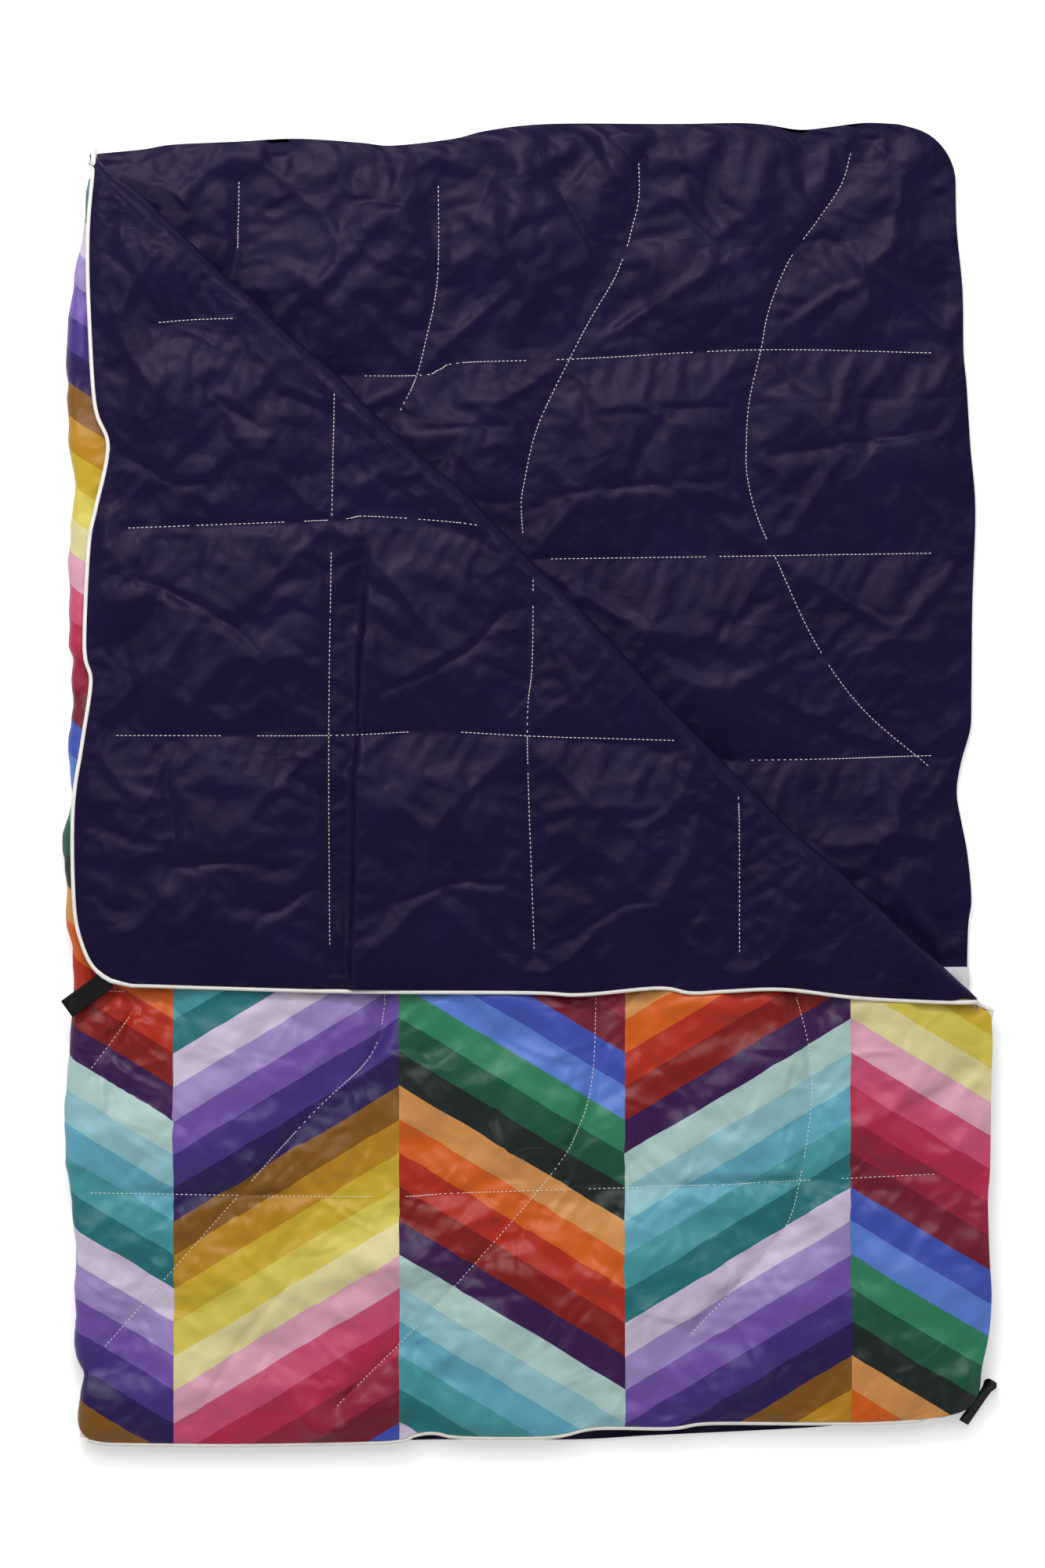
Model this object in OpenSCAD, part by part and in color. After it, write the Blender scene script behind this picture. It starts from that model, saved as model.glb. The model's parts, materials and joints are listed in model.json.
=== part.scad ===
// Rectangular sleeping bag: one quilted rectangle folded in half, with its head corner turned back.
// X runs across the bag, Y from foot to head, Z up. The origin is the middle of the underside.

/* [Bag] */
// Width of the folded bag, from the side fold to the piped edge
bag_w = 912; // [700:1:1100]
// Length of the bag, foot to head
bag_l = 1328; // [1200:1:1600]
// Thickness of one quilted layer at the top of a puff
loft = 16; // [10:0.5:30]
// Thickness of the quilt along its sewn lines and edges
seam_t = 5; // [4:0.5:8]
// Radius of the bag's corners
corner_r = 58; // [30:1:90]
// Thickness of the shell and lining cloth, with its seam allowance
cloth_t = 0.8; // [0.4:0.1:1.4]
// Space between layers that lie on each other
layer_gap = 0.6; // [0.4:0.1:2]

/* [Folds] */
// How far a fold stands out past its hinge line
fold_depth = 9; // [6:0.5:16]
// Distance of the turned-back corner's edge from the side fold
flap_setback = 22; // [14:1:80]

/* [Quilting] */
// Distance from the head edge to the first row of stitching
row_first = 234; // [160:1:300]
// Distance between rows of stitching
row_pitch = 210; // [160:1:260]
// Distance from the piped edge to the lower half's first column of stitching, at the head
column_first = 122; // [80:1:200]
// Distance between the lower half's columns of stitching
column_pitch = 207; // [160:1:260]
// How far a wavy column swings to one side
wave_swing = 146; // [60:1:180]
// Length of one wave of a column
wave_l = 628; // [400:1:800]
// Sideways drift of a wavy column for each millimetre of its length
wave_drift = 0.127; // [0:0.001:0.2]
// Distance from the piped edge to the upper half's first column of stitching
foot_first = 164; // [100:1:220]
// Distance between the upper half's columns of stitching
foot_pitch = 223; // [180:1:260]
// Height above the foot edge at which the upper half's first column turns aside
foot_turn = 279; // [200:1:340]
// How much higher each next column turns aside
foot_turn_step = 65; // [20:1:90]
// Slant of the upper half's columns below their turn
foot_slant = 0.92; // [0.4:0.01:1.2]
// Length over which such a column turns
foot_bend = 80; // [30:1:140]
// Distance from the turned-back corner's lower edge to its first crosswise row
flap_first = 274; // [180:1:320]

/* [Edging] */
// Diameter of the piping
piping_d = 5; // [3.5:0.1:7]
// Diameter of the filler cord inside the piping
cord_d = 2.8; // [1.5:0.1:3]
// Clearance between the piping and what it is sewn to or holds
sewn_gap = 0.15; // [0.1:0.05:0.4]

/* [Loops] */
// Width of the webbing
webbing_w = 20; // [12:1:30]
// Thickness of the webbing
webbing_t = 1.4; // [1:0.1:2.2]
// Radius of the eye at a loop's end
eye_r = 2.5; // [2:0.1:5]
// Length of a loop from its bend to the middle of its eye
loop_l = 43; // [30:1:70]
// Direction of the corner loop, seen from above
flap_loop_turn = 216; // [200:1:235]
// Place of the foot loop round the foot corner, seen from above
foot_loop_turn = -35; // [-50:1:-20]
// Lean of the foot loop's webbing from upright
foot_loop_lean = 30; // [0:1:45]

/* [Label] */
// Width of the care label, from the seam inwards
label_w = 46; // [25:1:60]
// Length of the care label along the seam
label_l = 60; // [40:1:90]
// Thickness of the care label
label_t = 0.4; // [0.2:0.1:0.8]
// Distance of the care label's upper end above the corner fold's lower end
label_rise = 40; // [20:1:60]

/* [Hidden] */
$fn = 48;

// Colours of the cloths, threads and webbing
lining_colour = "#241c44";
shell_colour = "#c9a21c";
batting_colour = "#f0eee8";
piping_colour = "#f4f3ef";
cord_colour = "#e4e0d6";
webbing_colour = "#161616";
label_colour = "#d9dbe0";

// Outline of the folded bag
x_left = -bag_w / 2;
x_right = bag_w / 2;
y_foot = -bag_l / 2;
y_head = bag_l / 2;

// Heights of the undersides of the three layers
upper_z = loft + layer_gap;
flap_z = 2 * upper_z;

// Hinge lines of the two folds: the corner fold's is where x + y equals corner_sum
side_x = x_left + fold_depth;
flap_x = x_left + flap_setback;
corner_sum = flap_x + y_head;
flap_y = corner_sum - x_right;
side_fold_z = upper_z - layer_gap / 2;
corner_fold_z = flap_z - layer_gap / 2;

// The quilt ends inside its piping, and its layers end just short of the hinge lines
edge = piping_d + sewn_gap;
hinge_room = layer_gap / 2;
quilt_left = side_x + hinge_room;
quilt_right = x_right - edge;
quilt_foot = y_foot + edge;
quilt_head = y_head - edge;
flap_left = flap_x + edge;
flap_foot = flap_y + edge;
quilt_corner_r = corner_r - edge;
diagonal_sum = corner_sum - hinge_room * sqrt(2);

// Number of mesh steps between two sewn lines, across and along
across_n = 4;
along_n = 3;
foot_n = 4;
// Steps round a corner, and the shape of a puff: a lower power is fuller
corner_n = 3;
puff_power = 0.55;
// Length past an edge without a seam over which its puff would still close
open_run = 110;
// Least distance from an edge to a sewn line
line_room = 24;
// Width left at the narrow end of a layer that ends in a point
tip_w = 14;

function between(a, b, t) = a + (b - a) * t;
function inside(lines, low, high) = [for (v = lines) if (v > low + line_room && v < high - line_room) v];

// Points that divide each space between marks into n steps
function divide(marks, n) = concat(
    [for (i = [0 : len(marks) - 2]) for (j = [0 : n - 1]) between(marks[i], marks[i + 1], j / n)],
    [marks[len(marks) - 1]]
);

// Puff between the two marks that a place lies between: 0 on a mark, 1 half way
function puff(v, marks) =
    let (last = len(marks) - 2)
    let (i = [for (k = [0 : last]) if (v <= marks[k + 1] || k == last) k][0])
    let (u = (v - marks[i]) / (marks[i + 1] - marks[i]))
    pow(max(0, sin(180 * min(max(u, 0), 1))), puff_power);

// Distance that a rounded corner takes off an edge, at a distance from the next edge
function corner_cut(d) =
    d >= quilt_corner_r ? 0 : quilt_corner_r - sqrt(pow(quilt_corner_r, 2) - pow(quilt_corner_r - d, 2));
corner_steps = [for (i = [0 : corner_n - 1]) quilt_corner_r * (1 - cos(90 * i / corner_n))];

// Sewn rows, from foot to head
row_count = floor((bag_l - row_first) / row_pitch);
sewn_rows = inside(
    [for (k = [row_count : -1 : 0]) y_head - row_first - k * row_pitch],
    quilt_foot + quilt_corner_r, quilt_head
);

// Lower half: wavy columns that start square to the head edge
wave_count = ceil(bag_w / column_pitch) + 1;
function wave_shift(d) = wave_drift * d - wave_swing / 2 * (1 - cos(360 * d / wave_l));
function wave_columns(y) = [
    for (k = [wave_count : -1 : 0])
        x_right - column_first - k * column_pitch + wave_shift(y_head - y)
];
function lower_right(y) = quilt_right - corner_cut(min(y - quilt_foot, quilt_head - y));
function lower_marks(y) = concat(
    [quilt_left], inside(wave_columns(y), quilt_left, quilt_right), [lower_right(y)]
);
function lower_top(x, y) =
    let (across = lower_marks(y))
    let (open_across = [for (i = [0 : len(across) - 1]) across[i] - (i == 0 ? open_run : 0)])
    let (along = concat([quilt_foot], sewn_rows, [quilt_head]))
    seam_t + (loft - seam_t) * puff(x, open_across) * puff(y, along);
lower_ys = concat(
    [for (d = corner_steps) quilt_foot + d],
    divide(concat([quilt_foot + quilt_corner_r], sewn_rows, [quilt_head - quilt_corner_r]), along_n),
    [for (i = [corner_n - 1 : -1 : 0]) quilt_head - corner_steps[i]]
);
lower_rows = [for (y = lower_ys) [y, divide(lower_marks(y), across_n)]];

// Upper half: its columns run straight, then slant to the side fold. It is flat under the turned-back corner
foot_count = ceil(bag_w / foot_pitch) + 1;
function turned(d) = d <= 0 ? 0 : d < foot_bend ? d * d / (2 * foot_bend) : d - foot_bend / 2;
function foot_columns(y) = [
    for (k = [foot_count : -1 : -1])
        x_right - foot_first - k * foot_pitch
            - foot_slant * turned(y_foot + foot_turn + k * foot_turn_step - y)
];
function upper_right(y) = min(quilt_right - corner_cut(y - quilt_foot), diagonal_sum - y);
function upper_marks(y) = concat(
    [quilt_left], inside(foot_columns(y), quilt_left, quilt_right), [upper_right(y)]
);
foot_rows = [for (y = sewn_rows) if (y < flap_y - line_room) y];
// Length along the bag, about the turned-back corner's edge, over which the puffs under it level out
covered_run = 24;
covered_n = 3;
function covered(y) = min(max((y - flap_y + covered_run / 2) / covered_run, 0), 1);
function upper_top(x, y) =
    let (across = upper_marks(y))
    let (open_across = [for (i = [0 : len(across) - 1]) across[i] - (i == 0 ? open_run : 0)])
    let (along = concat([quilt_foot], foot_rows, [flap_y + open_run]))
    let (rise = y < flap_y + covered_run ? puff(x, open_across) * puff(y, along) : 1)
    upper_z + seam_t + (loft - seam_t) * between(rise, 1, covered(y));
upper_tip_y = min(quilt_head, diagonal_sum - quilt_left - tip_w);
covered_ys = divide([flap_y + covered_run, upper_tip_y], covered_n);
upper_ys = concat(
    [for (d = corner_steps) quilt_foot + d],
    divide(concat([quilt_foot + quilt_corner_r], foot_rows, [flap_y - covered_run / 2]), foot_n)
);
upper_rows = concat(
    [for (y = upper_ys) [y, divide(upper_marks(y), across_n)]],
    [for (y = covered_ys) [y, divide([quilt_left, upper_right(y)], across_n)]]
);

// Turned-back corner: the bag's rows run up it, and its own rows cross them
flap_columns = [for (k = [0 : row_count]) flap_x + row_first + k * row_pitch];
flap_cross = [for (k = [0 : row_count]) flap_y + flap_first + k * row_pitch];
function flap_edge(y) = flap_left + corner_cut(y - flap_foot);
function flap_marks(y) = concat(
    [flap_edge(y)], inside(flap_columns, flap_edge(y), diagonal_sum - y), [diagonal_sum - y]
);
function flap_top(x, y) =
    let (across = flap_marks(y))
    let (last = len(across) - 1)
    let (open_across = [for (i = [0 : last]) across[i] + (i == last ? open_run : 0)])
    let (head = diagonal_sum - max(x, flap_left))
    let (along = concat([flap_foot], inside(flap_cross, flap_foot, head), [head + open_run]))
    flap_z + seam_t + (loft - seam_t) * puff(x, open_across) * puff(y, along);
flap_tip_y = diagonal_sum - flap_left - tip_w;
flap_ys = concat(
    [for (d = corner_steps) flap_foot + d],
    divide(
        concat([flap_foot + quilt_corner_r], inside(flap_cross, flap_foot, flap_tip_y), [flap_tip_y]),
        across_n
    )
);
flap_rows = [for (y = flap_ys) [y, divide(flap_marks(y), across_n)]];

// Meshes over rows of points: each row is [y, [x ...]]

// Index of each row's first point
function row_starts(rows) = [
    for (j = 0, s = 0; j < len(rows); s = s + len(rows[j][1]), j = j + 1) s
];
// Triangles between two rows, taking the next point of whichever row lags, anticlockwise from above
function zip_rows(a, b, a0, b0, i = 0, j = 0) =
    i == len(a) - 1 && j == len(b) - 1 ? [] :
    j == len(b) - 1 || (i < len(a) - 1 && a[i + 1] <= b[j + 1])
        ? concat([[a0 + i, a0 + i + 1, b0 + j]], zip_rows(a, b, a0, b0, i + 1, j))
        : concat([[a0 + i, b0 + j + 1, b0 + j]], zip_rows(a, b, a0, b0, i, j + 1));
function row_triangles(rows) =
    let (s = row_starts(rows))
    [for (j = [0 : len(rows) - 2]) for (t = zip_rows(rows[j][1], rows[j + 1][1], s[j], s[j + 1])) t];
// Indexes round the rim, anticlockwise from above
function rim(rows) =
    let (s = row_starts(rows))
    let (m = len(rows) - 1)
    let (n = [for (r = rows) len(r[1])])
    concat(
        [for (i = [0 : n[0] - 1]) i],
        [for (j = [1 : m]) s[j] + n[j] - 1],
        [for (i = [n[m] - 2 : -1 : 0]) s[m] + i],
        [for (j = [m - 1 : -1 : 1]) s[j]]
    );
function flipped(triangles) = [for (t = triangles) [t[2], t[1], t[0]]];
function raised(rows, height) = [for (r = rows) for (x = r[1]) [x, r[0], height(x, r[0])]];

// Cloth of even thickness under a height
module cloth(rows, height, t = cloth_t) {
    top = raised(rows, height);
    low = [for (p = top) p - [0, 0, t]];
    n = len(top);
    loop = rim(rows);
    triangles = row_triangles(rows);
    sides = [
        for (i = [0 : len(loop) - 1])
            let (p = loop[i], q = loop[(i + 1) % len(loop)])
            each [[p, q, q + n], [p, q + n, p + n]]
    ];
    polyhedron(concat(top, low), concat(flipped(triangles), [for (t = triangles) t + [n, n, n]], sides));
}

// Filling from a flat underside up to just under the cloth
module filling(rows, height, z) {
    top = [for (p = raised(rows, height)) p - [0, 0, cloth_t]];
    n = len(top);
    loop = rim(rows);
    m = len(loop);
    low = [for (i = loop) [top[i][0], top[i][1], z]];
    centre = [
        for (axis = [0 : 2]) [for (p = low) p[axis]] * [for (p = low) 1 / m]
    ];
    sides = [
        for (i = [0 : m - 1])
            let (j = (i + 1) % m)
            each [[loop[i], loop[j], n + j], [loop[i], n + j, n + i], [n + i, n + j, n + m]]
    ];
    polyhedron(concat(top, low, [centre]), concat(flipped(row_triangles(rows)), sides));
}

// Flat cloth of the same outline
module flat_cloth(rows, z) {
    flat = raised(rows, function (x, y) 0);
    translate([0, 0, z])
        linear_extrude(cloth_t)
            polygon([for (i = rim(rows)) [flat[i][0], flat[i][1]]]);
}

// Swept solids: each ring runs anticlockwise as seen from behind the sweep

function quad(a, b, c, d) = [[a, b, c], [a, c, d]];
function at(i, s, n) = i * n + s % n;
// Sides of a sweep, split across the other way from the ring's point number turn on
function sweep_sides(m, n, turn) = [
    for (i = [0 : m - 2])
        for (s = [0 : n - 1])
            let (a = at(i, s, n), b = at(i, s + 1, n))
            let (c = at(i + 1, s + 1, n), d = at(i + 1, s, n))
            each s < turn ? quad(a, b, c, d) : quad(b, c, d, a)
];
// Triangles of a ring whose points face each other in pairs, first with last
function rungs(n) =
    let (last = ceil(n / 2) - 2)
    concat(
        [for (i = [0 : last]) [i, i + 1, n - 1 - i]],
        [for (i = [0 : last]) if (i + 1 != n - 2 - i) [i + 1, n - 2 - i, n - 1 - i]]
    );
function shifted(triangles, k) = [for (t = triangles) t + [k, k, k]];

module sweep(rings, turn) {
    m = len(rings);
    n = len(rings[0]);
    ends = concat(flipped(rungs(n)), shifted(rungs(n), (m - 1) * n));
    polyhedron([for (r = rings) each r], concat(sweep_sides(m, n, turn), ends));
}

// Round edging along a level path of points, mitred at each point
tube_sides = 8;
function path_ring(path, i, z, r) =
    let (last = len(path) - 1)
    let (before = i == 0 ? path[1] - path[0] : path[i] - path[i - 1])
    let (after = i == last ? path[last] - path[last - 1] : path[i + 1] - path[i])
    let (way = before / norm(before) + after / norm(after))
    let (side = [way[1], -way[0]] * 2 / pow(norm(way), 2))
    [
        for (s = [0 : tube_sides - 1])
            let (a = 360 * (s + 0.5) / tube_sides)
            concat(path[i] + r * cos(a) * side, z + r * sin(a))
    ];
function path_rings(path, z, r) = [for (i = [0 : len(path) - 1]) path_ring(path, i, z, r)];

module tube(path, z, r_out, r_in) {
    n = tube_sides;
    m = len(path);
    k = m * n;
    outer = path_rings(path, z, r_out);
    inner = path_rings(path, z, r_in);
    start = [
        for (s = [0 : n - 1])
            each quad(k + at(0, s, n), k + at(0, s + 1, n), at(0, s + 1, n), at(0, s, n))
    ];
    stop = [
        for (s = [0 : n - 1])
            each quad(at(m - 1, s, n), at(m - 1, s + 1, n), k + at(m - 1, s + 1, n), k + at(m - 1, s, n))
    ];
    polyhedron(
        concat([for (r = outer) each r], [for (r = inner) each r]),
        concat(sweep_sides(m, n, n), shifted(flipped(sweep_sides(m, n, n)), k), start, stop)
    );
}

// Piping paths, along the middle of the piping
piping_r = piping_d / 2;
round_n = 6;
function arc(centre, a0, a1) = [
    for (i = [0 : round_n])
        let (a = between(a0, a1, i / round_n))
        centre + (corner_r - piping_r) * [cos(a), sin(a)]
];
foot_corner = [x_right - corner_r, y_foot + corner_r];
head_corner = [x_right - corner_r, y_head - corner_r];
flap_corner = [flap_x + corner_r, flap_y + corner_r];
lower_path = concat(
    [[quilt_left, y_foot + piping_r]],
    arc(foot_corner, -90, 0),
    arc(head_corner, 0, 90),
    [[quilt_left, y_head - piping_r]]
);
// Runs that meet the corner fold stop where their outer side reaches its hinge line
upper_path = concat(
    [[quilt_left, y_foot + piping_r]],
    arc(foot_corner, -90, 0),
    [[x_right - piping_r, diagonal_sum - x_right]]
);
// Short run along the head edge between the two folds
upper_head_path = [[quilt_left, y_head - piping_r], [diagonal_sum - y_head, y_head - piping_r]];
// The turned-back corner's piping stops each side of its loop
loop_room = 0.6;
slot_half = asin((webbing_w / 2 + 2 * loop_room) / (corner_r - piping_r));
flap_foot_path = concat(
    [[diagonal_sum - flap_y - piping_d, flap_y + piping_r]],
    arc(flap_corner, 270, flap_loop_turn + slot_half)
);
flap_side_path = concat(
    arc(flap_corner, flap_loop_turn - slot_half, 180),
    [[flap_x + piping_r, diagonal_sum - flap_x - piping_d]]
);

module piping(paths, z) {
    color(piping_colour)
        for (path = paths)
            tube(path, z + piping_r, piping_r, cord_d / 2 + sewn_gap);
}

module piping_cord(paths, z) {
    color(cord_colour)
        for (path = paths)
            sweep(path_rings(path, z + piping_r, cord_d / 2), tube_sides);
}

// Half ring of piping where an edge rolls round a fold, turned to face outwards
module fold_piping(place, turn, z) {
    translate([place[0], place[1], z + piping_r + upper_z / 2])
        rotate([0, 0, turn])
            rotate([90, 0, 0])
                rotate([0, 0, -90])
                    rotate_extrude(angle = 180)
                        translate([upper_z / 2, 0])
                            circle(piping_r);
}

// Folds: a station is [place on the hinge line, swell from 0 to 1, top height]
fold_step = 30;
fold_points = 180 / fold_step + 1;
function fold_ring(place, out, depth, low, middle, high) = [
    for (a = [90 : -fold_step : -90])
        let (z = middle + sin(a) * (a < 0 ? middle - low : high - middle))
        concat(place + out * depth * cos(a), z)
];
// Share of a fold's depth that is left where it is drawn in fully
fold_least = 0.55;
function fold_depth_at(swell) = fold_depth * between(fold_least, 1, swell);
function fold_skin(station, out, low, middle) =
    let (depth = fold_depth_at(station[1]))
    let (outer = fold_ring(station[0], out, depth, low, middle, station[2]))
    let (inner = fold_ring(station[0], out, depth - cloth_t, low + cloth_t, middle, station[2] - cloth_t))
    concat(outer, [for (i = [len(inner) - 1 : -1 : 0]) inner[i]]);
function fold_core(station, out, low, middle) =
    let (depth = fold_depth_at(station[1]) - cloth_t - sewn_gap)
    fold_ring(
        station[0], out, depth, low + cloth_t + sewn_gap, middle, station[2] - cloth_t - sewn_gap
    );

side_out = [-1, 0];
side_steps = divide(concat([quilt_foot], sewn_rows, [quilt_head]), across_n);
// A fold is drawn in a little at each sewn row and fully at its ends
row_dip = 0.25;
function side_swell(y) =
    sqrt(puff(y, [quilt_foot, quilt_head]))
        * (1 - row_dip * (1 - puff(y, concat([quilt_foot], sewn_rows, [quilt_head]))));
side_stations = [
    for (y = side_steps)
        [[side_x, y], side_swell(y), upper_z + seam_t + (loft - seam_t) * side_swell(y)]
];

corner_out = [1, 1] / sqrt(2);
corner_n_long = 26;
hinge_shift = (corner_sum - diagonal_sum) / 2;
function corner_high(x) = flap_top(x - hinge_shift, corner_sum - x - hinge_shift);
corner_stations = [
    for (x = divide([flap_left, quilt_right], corner_n_long))
        [[x, corner_sum - x], (corner_high(x) - flap_z - seam_t) / (loft - seam_t), corner_high(x)]
];

// Webbing loop on its side: bend at the origin, eye at the far end, width along Z
module webbing_loop() {
    linear_extrude(webbing_w, center = true)
        difference() {
            union() {
                circle(webbing_t);
                translate([0, -webbing_t])
                    square([loop_l, 2 * webbing_t]);
                translate([loop_l, 0])
                    circle(eye_r + webbing_t);
            }
            translate([loop_l, 0])
                circle(eye_r);
        }
}

// Bend lines of the loops
flap_loop_r = quilt_corner_r + webbing_t + loop_room;
flap_loop_z = flap_z + eye_r + webbing_t + layer_gap / 2;
foot_loop_z = upper_z + seam_t;
// The foot loop leans against the outside of the piping
foot_loop_r = corner_r - piping_r + (piping_r + webbing_t + layer_gap / 2) / cos(foot_loop_lean)
    - (seam_t - piping_r) * tan(foot_loop_lean);

// Care label, caught in the right-hand seam and lying on the lining
label_top_y = flap_y + label_rise;
label_steps = 4;
label_rows = [
    for (y = divide([label_top_y - label_l, label_top_y], label_steps))
        [y, divide([quilt_right - label_w, quilt_right - sewn_gap], label_steps)]
];

// Lower half

module lower_shell() {
    color(shell_colour)
        flat_cloth(lower_rows, 0);
}

module lower_batting() {
    color(batting_colour)
        filling(lower_rows, function (x, y) lower_top(x, y), cloth_t);
}

module lower_lining() {
    color(lining_colour)
        cloth(lower_rows, function (x, y) lower_top(x, y));
}

module lower_piping() {
    piping([lower_path], 0);
}

module lower_piping_cord() {
    piping_cord([lower_path], 0);
}

module care_label() {
    color(label_colour)
        cloth(label_rows, function (x, y) lower_top(x, y) + layer_gap + sewn_gap + label_t, label_t);
}

module side_fold_shell() {
    color(shell_colour)
        sweep([for (s = side_stations) fold_skin(s, side_out, 0, side_fold_z)], fold_points);
}

module side_fold_batting() {
    color(batting_colour)
        sweep([for (s = side_stations) fold_core(s, side_out, 0, side_fold_z)], fold_points);
}

module side_fold_piping() {
    color(piping_colour)
        for (y = [y_foot + piping_r, y_head - piping_r])
            fold_piping([side_x, y], 180, 0);
}

// Upper half

module upper_shell() {
    color(shell_colour)
        cloth(upper_rows, function (x, y) upper_top(x, y));
}

module upper_batting() {
    color(batting_colour)
        filling(upper_rows, function (x, y) upper_top(x, y), upper_z + cloth_t);
}

module upper_lining() {
    color(lining_colour)
        flat_cloth(upper_rows, upper_z);
}

module upper_piping() {
    piping([upper_path, upper_head_path], upper_z);
}

module upper_piping_cord() {
    piping_cord([upper_path, upper_head_path], upper_z);
}

module corner_fold_lining() {
    color(lining_colour)
        sweep(
            [for (s = corner_stations) fold_skin(s, corner_out, upper_z, corner_fold_z)], fold_points
        );
}

module corner_fold_batting() {
    color(batting_colour)
        sweep(
            [for (s = corner_stations) fold_core(s, corner_out, upper_z, corner_fold_z)], fold_points
        );
}

module corner_fold_piping() {
    past_end = (piping_r + hinge_room) / sqrt(2);
    color(piping_colour)
        for (x = [flap_left - past_end, quilt_right + past_end])
            fold_piping([x, corner_sum - x], 45, upper_z);
}

// Turned-back corner

module flap_shell() {
    color(shell_colour)
        flat_cloth(flap_rows, flap_z);
}

module flap_batting() {
    color(batting_colour)
        filling(flap_rows, function (x, y) flap_top(x, y), flap_z + cloth_t);
}

module flap_lining() {
    color(lining_colour)
        cloth(flap_rows, function (x, y) flap_top(x, y));
}

module flap_piping() {
    piping([flap_foot_path, flap_side_path], flap_z);
}

module flap_piping_cord() {
    piping_cord([flap_foot_path, flap_side_path], flap_z);
}

// Loops

module flap_loop() {
    color(webbing_colour)
        translate([flap_corner[0], flap_corner[1], flap_loop_z])
            rotate([0, 0, flap_loop_turn])
                translate([flap_loop_r, 0, 0])
                    rotate([90, 0, 0])
                        webbing_loop();
}

module foot_loop() {
    color(webbing_colour)
        translate([foot_corner[0], foot_corner[1], foot_loop_z])
            rotate([0, 0, foot_loop_turn])
                translate([foot_loop_r, 0, 0])
                    rotate([0, 0, 90])
                        rotate([-foot_loop_lean, 0, 0])
                            translate([0, 0, -webbing_w / 2])
                                webbing_loop();
}

lower_shell();
lower_batting();
lower_lining();
lower_piping();
lower_piping_cord();
care_label();
side_fold_shell();
side_fold_batting();
side_fold_piping();
upper_shell();
upper_batting();
upper_lining();
upper_piping();
upper_piping_cord();
corner_fold_lining();
corner_fold_batting();
corner_fold_piping();
flap_shell();
flap_batting();
flap_lining();
flap_piping();
flap_piping_cord();
flap_loop();
foot_loop();
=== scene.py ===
import json
import math

import bmesh
import bpy
import numpy as np
from mathutils import Matrix, Vector, noise
from mathutils.bvhtree import BVHTree
from mathutils.geometry import delaunay_2d_cdt


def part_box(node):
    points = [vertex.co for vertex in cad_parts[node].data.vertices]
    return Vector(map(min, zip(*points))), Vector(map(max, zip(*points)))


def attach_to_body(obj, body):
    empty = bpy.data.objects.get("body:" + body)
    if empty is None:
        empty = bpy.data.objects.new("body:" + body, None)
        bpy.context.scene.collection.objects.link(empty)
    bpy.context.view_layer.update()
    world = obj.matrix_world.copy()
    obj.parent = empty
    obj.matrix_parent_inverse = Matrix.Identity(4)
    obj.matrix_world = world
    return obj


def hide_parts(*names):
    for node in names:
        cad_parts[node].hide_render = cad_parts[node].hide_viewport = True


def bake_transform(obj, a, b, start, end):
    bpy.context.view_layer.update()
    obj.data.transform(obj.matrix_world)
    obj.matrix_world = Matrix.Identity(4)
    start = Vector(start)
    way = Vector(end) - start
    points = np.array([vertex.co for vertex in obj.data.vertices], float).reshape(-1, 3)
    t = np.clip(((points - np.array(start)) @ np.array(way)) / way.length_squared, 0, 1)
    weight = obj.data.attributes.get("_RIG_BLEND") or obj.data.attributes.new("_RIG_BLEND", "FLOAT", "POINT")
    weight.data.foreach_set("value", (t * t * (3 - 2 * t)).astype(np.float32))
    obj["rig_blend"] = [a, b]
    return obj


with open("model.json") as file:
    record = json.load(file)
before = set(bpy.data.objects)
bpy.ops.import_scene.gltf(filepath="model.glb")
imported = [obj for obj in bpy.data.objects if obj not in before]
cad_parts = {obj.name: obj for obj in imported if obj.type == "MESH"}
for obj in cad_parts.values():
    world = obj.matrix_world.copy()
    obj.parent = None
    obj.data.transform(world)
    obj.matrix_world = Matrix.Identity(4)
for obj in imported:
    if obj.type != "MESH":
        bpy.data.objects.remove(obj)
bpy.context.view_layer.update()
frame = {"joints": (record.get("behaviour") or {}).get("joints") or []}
scene = bpy.context.scene
mm = 0.001
noise.seed_set(1)  # noise vectors come out the same each time

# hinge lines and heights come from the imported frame
hinges = {j["name"]: j["pos_m"] for j in frame["joints"]}
sideX = hinges["half_fold"][0]
sideZ = hinges["half_fold"][2]
cornerSum = hinges["corner_fold"][0] + hinges["corner_fold"][1]  # x + y along the corner fold
cornerZ = hinges["corner_fold"][2]
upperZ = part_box("upper_lining")[0].z
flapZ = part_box("flap_shell")[0].z
root2 = math.sqrt(2)
layGap = 0.6 * mm  # room between two cloths that lie on each other
above = 0.2  # metres, higher than anything here
waveUnit = 0.314  # a wave texture's scale times its wavelength


# small helpers

def linear(code):
    parts = [int(code[i:i + 2], 16) / 255 for i in (1, 3, 5)]
    return [c / 12.92 if c <= 0.04045 else ((c + 0.055) / 1.055) ** 2.4 for c in parts] + [1.0]


def addNode(tree, kind, inputs=None, **settings):
    node = tree.nodes.new("ShaderNode" + kind)
    for name, value in settings.items():
        setattr(node, name, value)
    for name, value in (inputs or {}).items():
        if isinstance(value, bpy.types.NodeSocket):
            tree.links.new(value, node.inputs[name])
        else:
            node.inputs[name].default_value = value
    return node


def mathNode(tree, operation, *values):
    return addNode(tree, "Math", dict(enumerate(values)), operation=operation).outputs[0]


def newMaterial(name):
    material = bpy.data.materials.new(name)
    material.use_nodes = True
    tree = material.node_tree
    return material, tree, tree.nodes["Principled BSDF"]


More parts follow.
